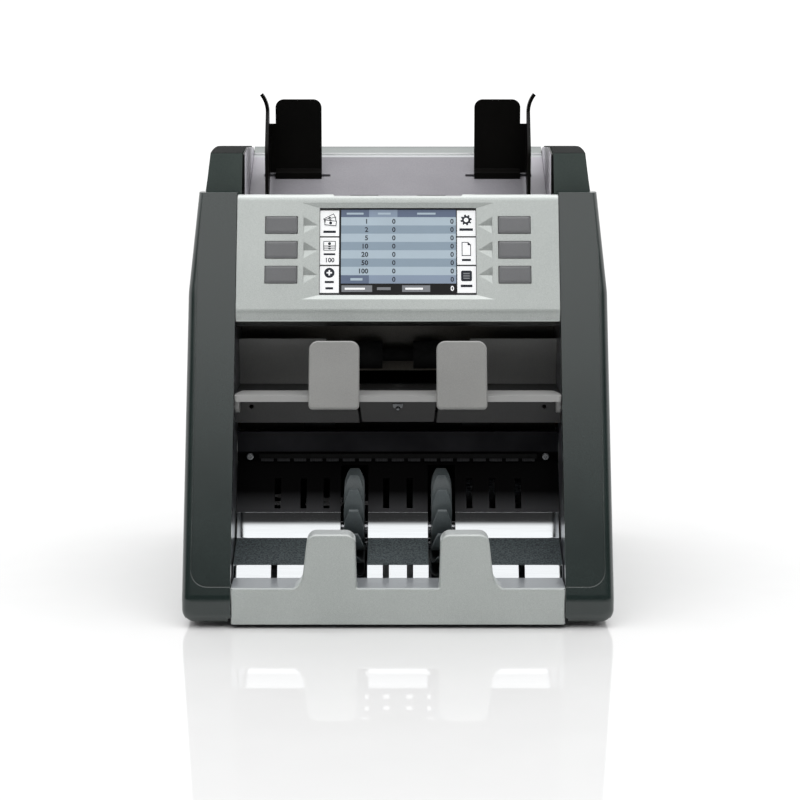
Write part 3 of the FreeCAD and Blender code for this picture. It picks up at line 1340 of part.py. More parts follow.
def main_board():
    y0 = FRAME_BACK - MAIN_BOARD_D - 6
    z0 = 62.0
    y1 = y0 + MAIN_BOARD_D
    z1 = z0 + MAIN_BOARD_H
    x = -MAIN_BOARD_X
    pieces = [box(x - BOARD_T, x, y0, y1, z0, z1)]
    for y in (y0 + 6, y1 - 6):
        for z in (z0 + 6, z1 - 6):
            pieces.append(rod_x(x - 0.2, -FRAME_OUT, (y, z), 2.5))
    chips = ((20, 30, 22), (20, 66, 14), (52, 30, 14), (52, 70, 24))
    for dy, dz, size in chips:
        pieces.append(box(x - BOARD_T - 2.5, x - BOARD_T + 0.1, y0 + dy - size / 2, y0 + dy + size / 2,
                          z0 + dz - size / 2, z0 + dz + size / 2))
    return fuse_all(pieces)


SUPPLY_W = 84.0
SUPPLY_D = 64.0
SUPPLY_GAP = 6.0


def power_supply():
    x0 = -FRAME_X + 8.0
    y0 = REAR - 40.0 - SUPPLY_D
    low = PLATE_Z + SUPPLY_GAP
    top = low + BOARD_T
    pieces = [box(x0, x0 + SUPPLY_W, y0, y0 + SUPPLY_D, low, top)]
    for x in (x0 + 5, x0 + SUPPLY_W - 5):
        for y in (y0 + 5, y0 + SUPPLY_D - 5):
            pieces.append(Part.makeCylinder(2.5, SUPPLY_GAP + 0.2, Vector(x, y, PLATE_Z)))
    pieces.append(box(x0 + 30, x0 + 56, y0 + 18, y0 + 46, top - 0.1, top + 24))
    for dx, dy in ((14, 18), (14, 42), (70, 18)):
        pieces.append(Part.makeCylinder(7, 26, Vector(x0 + dx, y0 + dy, top - 0.1)))
    return fuse_all(pieces)


# Small bright fittings in the pockets, and the screws of the covers
FITTING_R = 2.6
FITTING_X = 93.7
CROSS_L = 2.4
CROSS_W = 0.6


def pan_screw(x, y, z):
    head = rod_y(y - 1.5, y, x, z, FITTING_R)
    rim = [edge for edge in head.Edges if edge.BoundBox.YMax < y - 1.4]
    head = head.makeFillet(0.9, rim)
    arms = [box(x - CROSS_L / 2, x + CROSS_L / 2, y - 2, y - 0.8, z - CROSS_W / 2, z + CROSS_W / 2),
            box(x - CROSS_W / 2, x + CROSS_W / 2, y - 2, y - 0.8, z - CROSS_L / 2, z + CROSS_L / 2)]
    return cut_all(head, arms)


# The tray's note sensor: a clip with a rounded eye
def pocket_fittings():
    y = FRONT + REJECT_FRONT + 1.0
    z = REJECT_Z - 8.6
    outline = [(-3.6, z + 2.2), (3.6, z + 2.2), (2.6, z - 0.6), (-2.6, z - 0.6)]
    clip = extrude_y(outline, y - 0.8, y, [0.6, 0.6, 0.6, 0.6])
    eye = rod_y(y - 2.4, y, 0, z - 0.8, 1.5)
    rim = [edge for edge in eye.Edges if edge.BoundBox.YMax < y - 2.3]
    eye = eye.makeFillet(1.0, rim)
    screw = pan_screw(FITTING_X, BACK_PANEL_Y, BACK_GUIDE_TOP + 5.5)
    return [fuse_all([clip, eye])] + with_mirror([screw])


SCREW_R = 3.6
SCREW_H = 1.4


def cover_screws():
    y = REAR - 2.0
    x = HALF_W - REAR_STRIP_W / 2
    screws = [rod_y(y, y + SCREW_H, x, z, SCREW_R) for z in (24.0, 112.0, 200.0)]
    return with_mirror(screws)


def main():
    os.makedirs("parts", exist_ok=True)
    save("base_plate", base_plate())
    save_group("rubber_feet", rubber_feet())
    save("left_side_frame", side_frame(False))
    save("right_side_frame", side_frame(True))
    save_group("frame_spacers", frame_spacers())
    save_group("shaft_bushes", shaft_bushes())
    right_front = right_front_cover()
    save("right_front_cover", right_front)
    save("left_front_cover", mirrored(right_front))
    right_rear = right_rear_cover()
    save("right_rear_cover", right_rear)
    save("left_rear_cover", mirrored(right_rear))
    save("display_bezel", display_bezel())
    save("screen_lens", screen_lens())
    save("screen_module", screen_module())
    save("key_board", key_board())
    for side, side_name in ((-1, "left"), (1, "right")):
        for v, row_name in zip(KEY_ROWS, ("top", "middle", "bottom")):
            save(side_name + "_key_" + row_name, key_cap(side, v))
    save("front_lower_panel", front_lower_panel())
    save("stacker_plate", stacker_plate())
    save("stacker_back_guide", stacker_back_guide())
    save("antistatic_brush", antistatic_brush())
    save_group("transport_guides", transport_guides())
    save_group("stacker_wheels", [stacker_wheel(-WHEEL_X), stacker_wheel(WHEEL_X)])
    save("stacker_shaft", roller_shaft(STACKER, SHAFT_R, [], [(MAIN_PULLEYS, "stacker", LAYER_X)]))
    save("reject_tray", reject_tray())
    save_group("reject_back_plates", with_mirror([reject_back_plate()]))
    save("reject_stopper", reject_stopper())
    save_group("pocket_fittings", pocket_fittings())
    save("hopper_floor", hopper_floor())
    save_group("hopper_cheeks", with_mirror([hopper_cheek()]))
    save("left_guide", hopper_guide(True))
    save("right_guide", hopper_guide(False))
    save("guide_pinion", guide_pinion())
    save("rear_top_cover", rear_top_cover())
    save("rear_door", rear_door())
    save("upper_pinch_roller", pinch_roller(PINCHES[0]))
    save("lower_pinch_roller", pinch_roller(PINCHES[1]))
    save("rear_lower_panel", rear_lower_panel())
    save_group("rear_sockets", rear_sockets())
    save("power_switch", power_switch())
    drum_pulleys = [(MAIN_PULLEYS, "drum", LAYER_X), (SECOND_PULLEYS, "drum", PULLEY_X)]
    save("transport_drum", roller_shaft(DRUM, DRUM_R, [(2.0, 92.0)], drum_pulleys))
    save("upper_transport_roller", roller_shaft(UPPER, UPPER_R, [(12.0, 28.0), (52.0, 68.0)],
                                                [(SECOND_PULLEYS, "upper", PULLEY_X)]))
    save("reject_exit_roller", roller_shaft(EXIT, EXIT_R, [(10.0, 28.0)],
                                            [(SECOND_PULLEYS, "exit", PULLEY_X)]))
    save("lower_transport_roller", roller_shaft(LOWER, LOWER_R, [(40.0, 60.0)],
                                                [(SECOND_PULLEYS, "lower", PULLEY_X)]))
    save("feed_rollers", roller_shaft(FEED, FEED_R, [FEED_ROLLERS], [(FEED_PULLEYS, "feed", PULLEY_X)]))
    save("pickup_rollers", roller_shaft(PICKUP, PICKUP_R, [PICKUP_ROLLERS],
                                        [(FEED_PULLEYS, "pickup", PULLEY_X)]))
    save("retard_roller", retard_roller())
    save("main_motor", motor(MOTOR, MOTOR_R, MOTOR_L))
    save("feed_motor", motor(FEED_MOTOR, FEED_MOTOR_R, FEED_MOTOR_L))
    save("main_motor_pulley", motor_rotor(MAIN_PULLEYS, MOTOR_L, LAYER_X))
    save("feed_motor_pulley", motor_rotor(FEED_PULLEYS, FEED_MOTOR_L, PULLEY_X))
    save_group("drive_belts", drive_belts())
    save("diverter_gate", diverter_gate())
    save("image_sensor", image_sensor())
    save("main_board", main_board())
    save("power_supply", power_supply())
    save_group("cover_screws", cover_screws())


main()
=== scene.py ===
# Looks of the two-pocket banknote counter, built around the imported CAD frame. Metres, Z up, front towards -Y.
import math

import bmesh
import bpy
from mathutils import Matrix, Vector


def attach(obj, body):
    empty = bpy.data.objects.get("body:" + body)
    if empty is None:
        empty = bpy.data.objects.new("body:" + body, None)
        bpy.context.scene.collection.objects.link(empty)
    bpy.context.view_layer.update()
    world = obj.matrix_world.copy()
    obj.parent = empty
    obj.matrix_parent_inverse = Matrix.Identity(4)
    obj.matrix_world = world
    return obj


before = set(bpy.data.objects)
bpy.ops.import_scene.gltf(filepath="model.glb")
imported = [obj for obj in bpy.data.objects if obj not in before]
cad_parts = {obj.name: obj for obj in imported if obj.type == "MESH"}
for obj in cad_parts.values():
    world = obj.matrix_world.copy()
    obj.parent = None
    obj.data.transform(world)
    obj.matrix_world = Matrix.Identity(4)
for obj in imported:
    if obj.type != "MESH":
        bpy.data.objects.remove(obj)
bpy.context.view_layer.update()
MM = 0.001

# Node helpers


def srgb(red, green, blue):
    """A display colour, 0 to 255, as the linear colour that nodes use."""
    def linear(value):
        value /= 255.0
        return value / 12.92 if value <= 0.04045 else ((value + 0.055) / 1.055) ** 2.4
    return (linear(red), linear(green), linear(blue), 1.0)


def start(name):
    """A new material with its tree and its Principled shader."""
    material = bpy.data.materials.new(name)
    material.use_nodes = True
    tree = material.node_tree
    return material, tree, tree.nodes["Principled BSDF"]


def add(tree, kind, settings=None, inputs=None):
    """A node with its settings, and its inputs set or linked."""
    node = tree.nodes.new("ShaderNode" + kind)
    for key, value in (settings or {}).items():
        setattr(node, key, value)
    feed(tree, node, inputs or {})
    return node


def feed(tree, node, inputs):
    """Sets each input to a value, or links it where the value is a socket."""
    for key, value in inputs.items():
        if isinstance(value, bpy.types.NodeSocket):
            tree.links.new(value, node.inputs[key])
        else:
            node.inputs[key].default_value = value


def place(tree, stretch=(1.0, 1.0, 1.0)):
    """Object coordinates in metres, scaled along each axis."""
    where = add(tree, "TexCoord").outputs["Object"]
    return add(tree, "Mapping", None, {"Vector": where, "Scale": stretch}).outputs["Vector"]


def noise(tree, where, size, detail=2.0, roughness=0.5):
    """Noise whose features are about size metres across."""
    inputs = {"Vector": where, "Scale": 1.0 / size, "Detail": detail, "Roughness": roughness}
    return add(tree, "TexNoise", None, inputs).outputs["Fac"]


def flakes(tree, where, size):
    """A random value in each cell of about size metres."""
    cell = add(tree, "TexVoronoi", None, {"Vector": where, "Scale": 1.0 / size}).outputs["Color"]
    return add(tree, "SeparateColor", None, {"Color": cell}).outputs["Red"]


def stripes(tree, where, pitch, direction):
    """Bands across one axis, 0 to 1, one each pitch metres."""
    settings = {"wave_type": "BANDS", "bands_direction": direction}
    return add(tree, "TexWave", settings, {"Vector": where, "Scale": math.pi / 10.0 / pitch}).outputs["Fac"]


def spread(tree, value, low, high, start_at=0.3, end_at=0.7):
    """A pattern's middle range stretched from low to high."""
    inputs = {"Value": value, "From Min": start_at, "From Max": end_at, "To Min": low, "To Max": high}
    return add(tree, "MapRange", None, inputs).outputs["Result"]


def math_node(tree, operation, first, second=0.0):
    """One sum on one or two values."""
    return add(tree, "Math", {"operation": operation}, {0: first, 1: second}).outputs["Value"]


def weighed(tree, first, share, second, other_share):
    """The sum of two patterns, each times its share."""
    first = math_node(tree, "MULTIPLY", first, share)
    return math_node(tree, "ADD", first, math_node(tree, "MULTIPLY", second, other_share))


def along(tree, vector, axis):
    """The part of a vector along one axis."""
    return add(tree, "SeparateXYZ", None, {0: vector}).outputs[axis]


def step_at(tree, value, edge, soft):
    """A mask that goes from 0 to 1 where value passes edge, over soft on each side."""
    return spread(tree, value, 0.0, 1.0, edge - soft, edge + soft)


def mix(tree, share, first, second):
    """A blend of two colours."""
    return add(tree, "Mix", {"data_type": "RGBA"}, {0: share, 6: first, 7: second}).outputs[2]


def bump(tree, shader, height, distance, edge):
    """Fine relief on top of edges that are rounded by edge metres."""
    rounded = add(tree, "Bevel", {"samples": 6}, {"Radius": edge}).outputs["Normal"]
    inputs = {"Strength": 1.0, "Distance": distance, "Height": height, "Normal": rounded}
    feed(tree, shader, {"Normal": add(tree, "Bump", None, inputs).outputs["Normal"]})
    return rounded


def edge_mask(tree, rounded):
    """Near 1 along sharp edges, 0 on flat faces."""
    flat = add(tree, "NewGeometry").outputs["Normal"]
    dot = add(tree, "VectorMath", {"operation": "DOT_PRODUCT"}, {0: rounded, 1: flat}).outputs["Value"]
    return spread(tree, dot, 1.0, 0.0, 0.80, 0.985)


def facing(tree, axis, start_at, end_at):
    """A mask that grows from 0 to 1 as the surface's normal along an axis goes from start_at to end_at."""
    normal = add(tree, "TexCoord").outputs["Normal"]
    return spread(tree, along(tree, normal, axis), 0.0, 1.0, start_at, end_at)


# Finishes


def moulded(name, dark, light, rough=(0.42, 0.55), grain=0.45 * MM, depth=0.012 * MM, worn=None, wear=0.5,
            edge=0.5 * MM, patch=40 * MM, specular=0.5, rim=None, painted_light_faces=()):
    """Moulded or painted plastic: a fine spark-eroded grain, soft patches of tone and rubbed edges.

    Where rim is given, it is the colour of a thin upright sheet's edges, and only its two sides are painted.
    Each entry of the last argument paints light or shade on the faces that look one way: the axis, where its
    mask starts and ends, the colour.
    """
    material, tree, shader = start(name)
    where = place(tree)
    fine = noise(tree, where, grain, 3.0)
    broad = noise(tree, where, patch, 3.0)
    both = weighed(tree, fine, 0.55, broad, 0.45)
    colour = mix(tree, spread(tree, both, 0.0, 1.0, 0.36, 0.64), dark, light)
    rounded = bump(tree, shader, fine, depth, edge)
    if worn:
        rub = math_node(tree, "MULTIPLY", edge_mask(tree, rounded), spread(tree, broad, 0.4 * wear, wear))
        colour = mix(tree, rub, colour, worn)
    if rim:
        across = math_node(tree, "ABSOLUTE", along(tree, add(tree, "TexCoord").outputs["Normal"], "X"))
        colour = mix(tree, spread(tree, across, 1.0, 0.0, 0.4, 0.7), colour, rim)
    # Painted light and shade: faces that look one way get their own lighter or darker tone.
    for axis, start_at, end_at, tone in painted_light_faces:
        colour = mix(tree, facing(tree, axis, start_at, end_at), colour, tone)
    feed(tree, shader, {"Base Color": colour, "Roughness": spread(tree, both, *rough),
                        "Specular IOR Level": specular})
    return material


def hopper_sheet(name, margin_from, brink_from):
    """Painted hopper floor; painted light beside the notes past margin_from, a painted highlight at its end
    past brink_from.
    """
    material, tree, shader = start(name)
    where = place(tree)
    fine = noise(tree, where, 0.8 * MM, 3.0)
    broad = noise(tree, where, 40 * MM, 3.0)
    both = weighed(tree, fine, 0.55, broad, 0.45)
    bump(tree, shader, fine, 0.006 * MM, 0.5 * MM)
    # Painted light: the floor is paler beside the guides, lifting the shade their fins cast.
    margin_light = step_at(tree, math_node(tree, "ABSOLUTE", along(tree, where, "X")), margin_from, 2 * MM)
    # Painted highlight: a pale line at the floor's far end.
    brink_highlight = step_at(tree, along(tree, where, "Y"), brink_from, 0.2 * MM)
    colour = mix(tree, spread(tree, both, 0.0, 1.0, 0.36, 0.64), srgb(138, 136, 142), srgb(152, 150, 156))
    colour = mix(tree, margin_light, colour, srgb(200, 198, 204))
    colour = mix(tree, brink_highlight, colour, srgb(208, 211, 213))
    feed(tree, shader, {"Base Color": colour, "Roughness": spread(tree, both, 0.34, 0.44)})
    return material


FLAKE_METAL = 0.35


def silver(name, dark, light, painted_top_tone, painted_front_highlight=None, painted_light_zone=None, coat=0.5, crown_metal=FLAKE_METAL):
    """Silver paint: metal flakes under a clear coat with a little orange peel; undersides are painted dark,
    painted shade.

    The tone for faces that look up paints light and shade on the top, and the front tone, where given, paints a
    highlight on the upright front.
    Above the given height the top gets the paler tone given with it, as painted light.
    """
    material, tree, shader = start(name)
    where = place(tree)
    flake = flakes(tree, where, 0.22 * MM)
    peel = noise(tree, where, 1.6 * MM, 2.0)
    broad = noise(tree, where, 60 * MM, 3.0)
    tone = weighed(tree, flake, 0.5, broad, 0.5)
    rounded = bump(tree, shader, peel, 0.010 * MM, 0.6 * MM)
    rub = math_node(tree, "MULTIPLY", edge_mask(tree, rounded), spread(tree, broad, 0.15, 0.45))
    colour = mix(tree, spread(tree, tone, 0.0, 1.0, 0.2, 0.8), dark, light)
    colour = mix(tree, rub, colour, srgb(232, 235, 234))
    # Painted light and shade: faces that look up get their own tone, lighter or darker than the body.
    top = facing(tree, "Z", 0.6, 0.9)
    # Painted light: above a height, faces that look up get a paler tone.
    if painted_light_zone:
        lit_from, pale = painted_light_zone
        painted_top_tone = mix(tree, step_at(tree, along(tree, where, "Z"), lit_from, 1 * MM), painted_top_tone, pale)
    colour = mix(tree, top, colour, painted_top_tone)
    # Painted shade: faces that look down are painted dark.
    underside_shade = facing(tree, "Z", -0.55, -0.75)
    colour = mix(tree, underside_shade, colour, srgb(46, 46, 45))
    matt = underside_shade
    # Painted highlight: the upright front gets a near-white tone.
    if painted_front_highlight:
        front = facing(tree, "Y", -0.75, -0.9)
        colour = mix(tree, front, colour, painted_front_highlight)
        matt = math_node(tree, "MAXIMUM", underside_shade, front)
    shine = math_node(tree, "MINIMUM", spread(tree, matt, FLAKE_METAL, 0.0, 0.0, 1.0),
                      spread(tree, top, FLAKE_METAL, crown_metal, 0.0, 1.0))
    feed(tree, shader, {"Base Color": colour, "Roughness": spread(tree, tone, 0.30, 0.40), "Metallic": shine,
                        "Coat Weight": coat, "Coat Roughness": 0.12})
    return material


def metal(name, dark, light, rough=(0.2, 0.35), stretch=(1.0, 1.0, 1.0), grain=0.3 * MM, depth=0.004 * MM,
          edge=0.25 * MM, patch=18 * MM):
    """Bare metal with fine tool marks along the axis that stretch makes long."""
    material, tree, shader = start(name)
    marks = noise(tree, place(tree, stretch), grain, 3.0, 0.6)
    broad = noise(tree, place(tree), patch, 4.0)
    both = weighed(tree, marks, 0.5, broad, 0.5)
    bump(tree, shader, marks, depth, edge)
    feed(tree, shader, {"Base Color": mix(tree, spread(tree, both, 0.0, 1.0), dark, light),
                        "Roughness": spread(tree, both, *rough), "Metallic": 1.0})
    return material


def spangled(name):
    """Zinc-coated sheet: crystals of slightly different brightness."""
    material, tree, shader = start(name)
    where = place(tree)
    crystal = flakes(tree, where, 7.0 * MM)
    haze = noise(tree, where, 1.2 * MM, 4.0)
    tone = weighed(tree, crystal, 0.7, haze, 0.3)
    bump(tree, shader, haze, 0.004 * MM, 0.3 * MM)
    feed(tree, shader, {"Base Color": mix(tree, tone, srgb(138, 142, 146), srgb(196, 199, 202)),
                        "Roughness": spread(tree, tone, 0.30, 0.50, 0.1, 0.9), "Metallic": 1.0})
    return material


def mirror_sheet(name, band_from, band_to):
    """Polished stainless sheet with rolling marks and scratches, and a speckled satin band between two Ys, its
    slate tone a painted reflection.
    """
    material, tree, shader = start(name)
    rolled = noise(tree, place(tree, (0.02, 1.0, 1.0)), 0.5 * MM, 3.0, 0.6)
    broad = noise(tree, place(tree), 22 * MM, 4.0)
    scratch = noise(tree, place(tree, (1.0, 0.06, 0.06)), 0.35 * MM, 2.0)
    speck = noise(tree, place(tree), 1.0 * MM, 3.0, 0.7)
    deep = along(tree, place(tree), "Y")
    after = step_at(tree, deep, band_from, 0.1 * MM)
    before = spread(tree, deep, 1.0, 0.0, band_to - 0.1 * MM, band_to + 0.1 * MM)
    satin_reflection = math_node(tree, "MULTIPLY", after, before)
    scratched = spread(tree, scratch, 0.0, 1.0, 0.66, 0.74)
    bump(tree, shader, weighed(tree, rolled, 0.015, speck, satin_reflection), 0.010 * MM, 0.2 * MM)
    shine = math_node(tree, "ADD", spread(tree, broad, 0.035, 0.06),
                      math_node(tree, "MULTIPLY", scratched, 0.06))
    shine = math_node(tree, "ADD", shine, math_node(tree, "MULTIPLY", satin_reflection, 0.40))
    wall = spread(tree, deep, 0.0, 0.04, band_to, band_to + 4.0 * MM)
    shine = math_node(tree, "ADD", shine, wall)
    polished = mix(tree, spread(tree, rolled, 0.0, 1.0), srgb(203, 206, 208), srgb(209, 212, 214))
    # The band is satin, and its speckled slate tone is a painted reflection of the dark band across the curved
    # sheet.
    matt = mix(tree, spread(tree, speck, 0.0, 1.0, 0.35, 0.65), srgb(62, 69, 71), srgb(120, 130, 133))
    feed(tree, shader, {"Base Color": mix(tree, satin_reflection, polished, matt), "Roughness": shine,
                        "Metallic": spread(tree, satin_reflection, 1.0, 0.55, 0.0, 1.0)})
    return material


def rubber(name, dark, light, rib=0.0, direction="X"):
    """Dull rubber, dusted with paper lint, with ground ribs where rib is their pitch."""
    material, tree, shader = start(name)
    where = place(tree)
    fine = noise(tree, where, 0.6 * MM, 4.0, 0.65)
    broad = noise(tree, where, 14 * MM, 4.0)
    height = fine
    if rib:
        height = math_node(tree, "ADD", math_node(tree, "MULTIPLY", fine, 0.3),
                           stripes(tree, where, rib, direction))
    bump(tree, shader, height, 0.03 * MM, 0.3 * MM)
    tone = weighed(tree, fine, 0.4, broad, 0.6)
    feed(tree, shader, {"Base Color": mix(tree, spread(tree, tone, 0.0, 1.0), dark, light),
                        "Roughness": spread(tree, fine, 0.72, 0.92), "Specular IOR Level": 0.3})
    return material


def board(name):
    """A green circuit board: solder mask over copper tracks, with pale print where parts sit."""
    material, tree, shader = start(name)
    where = place(tree)
    turn = noise(tree, where, 9 * MM, 1.0)
    across = stripes(tree, where, 1.6 * MM, "Y")
    upward = stripes(tree, where, 1.6 * MM, "Z")
    choose = spread(tree, turn, 0.0, 1.0, 0.49, 0.51)
    track = add(tree, "Mix", {"data_type": "FLOAT"}, {0: choose, 2: across, 3: upward}).outputs[0]
    track = spread(tree, track, 0.0, 1.0, 0.55, 0.65)
    pad = spread(tree, flakes(tree, where, 5 * MM), 0.0, 1.0, 0.90, 0.91)
    mask = mix(tree, track, srgb(14, 58, 36), srgb(30, 92, 56))
    bump(tree, shader, track, 0.02 * MM, 0.2 * MM)
    feed(tree, shader, {"Base Color": mix(tree, pad, mask, srgb(168, 150, 96)),
                        "Roughness": spread(tree, track, 0.30, 0.42, 0.0, 1.0),
                        "Metallic": math_node(tree, "MULTIPLY", pad, 0.6)})
    return material


def bristles(name, bar_from):
    """Conductive brush: thin upright fibres, paler than the black bar above bar_from that holds them."""
    material, tree, shader = start(name)
    fibre = noise(tree, place(tree, (1.0, 0.08, 0.08)), 0.25 * MM, 2.0)
    bump(tree, shader, fibre, 0.08 * MM, 0.1 * MM)
    holder = step_at(tree, along(tree, place(tree), "Z"), bar_from, 0.1 * MM)
    tuft = mix(tree, spread(tree, fibre, 0.0, 1.0, 0.4, 0.75), srgb(38, 38, 40), srgb(64, 64, 66))
    feed(tree, shader, {"Base Color": mix(tree, holder, tuft, srgb(3, 3, 3)),
                        "Roughness": spread(tree, fibre, 0.45, 0.7), "Specular IOR Level": 0.15})
    return material


def pocket_sheet(name, panel_from, reflection_to):
    """Black painted sheet at the back of the pocket: greyer above panel_from as painted light, paler at the
    foot as painted reflection.
    """
    material, tree, shader = start(name)
    where = place(tree)
    fine = noise(tree, where, 0.45 * MM, 3.0)
    broad = noise(tree, where, 40 * MM, 3.0)
    bump(tree, shader, fine, 0.012 * MM, 0.5 * MM)
    height = along(tree, where, "Z")
    # Painted light: the sheet is greyer above panel_from.
    panel_light = step_at(tree, height, panel_from, 0.4 * MM)
    black = mix(tree, spread(tree, fine, 0.0, 1.0), srgb(0, 0, 0), srgb(2, 1, 2))
    grey = mix(tree, spread(tree, broad, 0.0, 1.0), srgb(26, 26, 29), srgb(48, 48, 51))
    # Painted reflection: the sheet gets paler towards the bottom.
    painted_light_zone = spread(tree, height, 1.0, 0.0, reflection_to - 10 * MM, reflection_to)
    black = mix(tree, painted_light_zone, black, srgb(66, 66, 68))
    feed(tree, shader, {"Base Color": mix(tree, panel_light, black, grey),
                        "Roughness": spread(tree, fine, 0.26, 0.38), "Specular IOR Level": 0.02})
    return material


PIXEL = 0.3 * MM
PIXEL_GAP = 0.86


def lit(name, tone, glow):
    """A lit screen colour: a pixel lattice on the glass, shining by itself, a little dimmer in its gaps."""
    material, tree, shader = start(name)
    where = place(tree)
    lattice = math_node(tree, "MULTIPLY", stripes(tree, where, PIXEL, "X"), stripes(tree, where, PIXEL, "Z"))
    haze = noise(tree, where, 18 * MM, 2.0)
    share = weighed(tree, lattice, 0.35, haze, 0.65)
    dim = tuple(PIXEL_GAP * value for value in tone[:3]) + (1.0,)
    colour = mix(tree, share, dim, tone)
    feed(tree, shader, {"Base Color": colour, "Emission Color": colour, "Emission Strength": glow,
                        "Roughness": spread(tree, haze, 0.30, 0.42), "Specular IOR Level": 0.3})
    return material


# Where the toned parts of some finishes start or end on the machine, in metres; all but the brush bar's bound
# painted light and painted reflections

HOPPER_TRACK = 84 * MM
HOPPER_END = 57.6 * MM
UPRIGHT_TOPS = 45 * MM
STEEL_BAND_FROM = -100.9 * MM
STEEL_BAND_TO = -74.4 * MM
BACK_PANEL = 92.5 * MM
BACK_REFLECTION_TO = 69 * MM
BRUSH_BAR = 88.6 * MM

# The finishes by name, and then which nodes take each

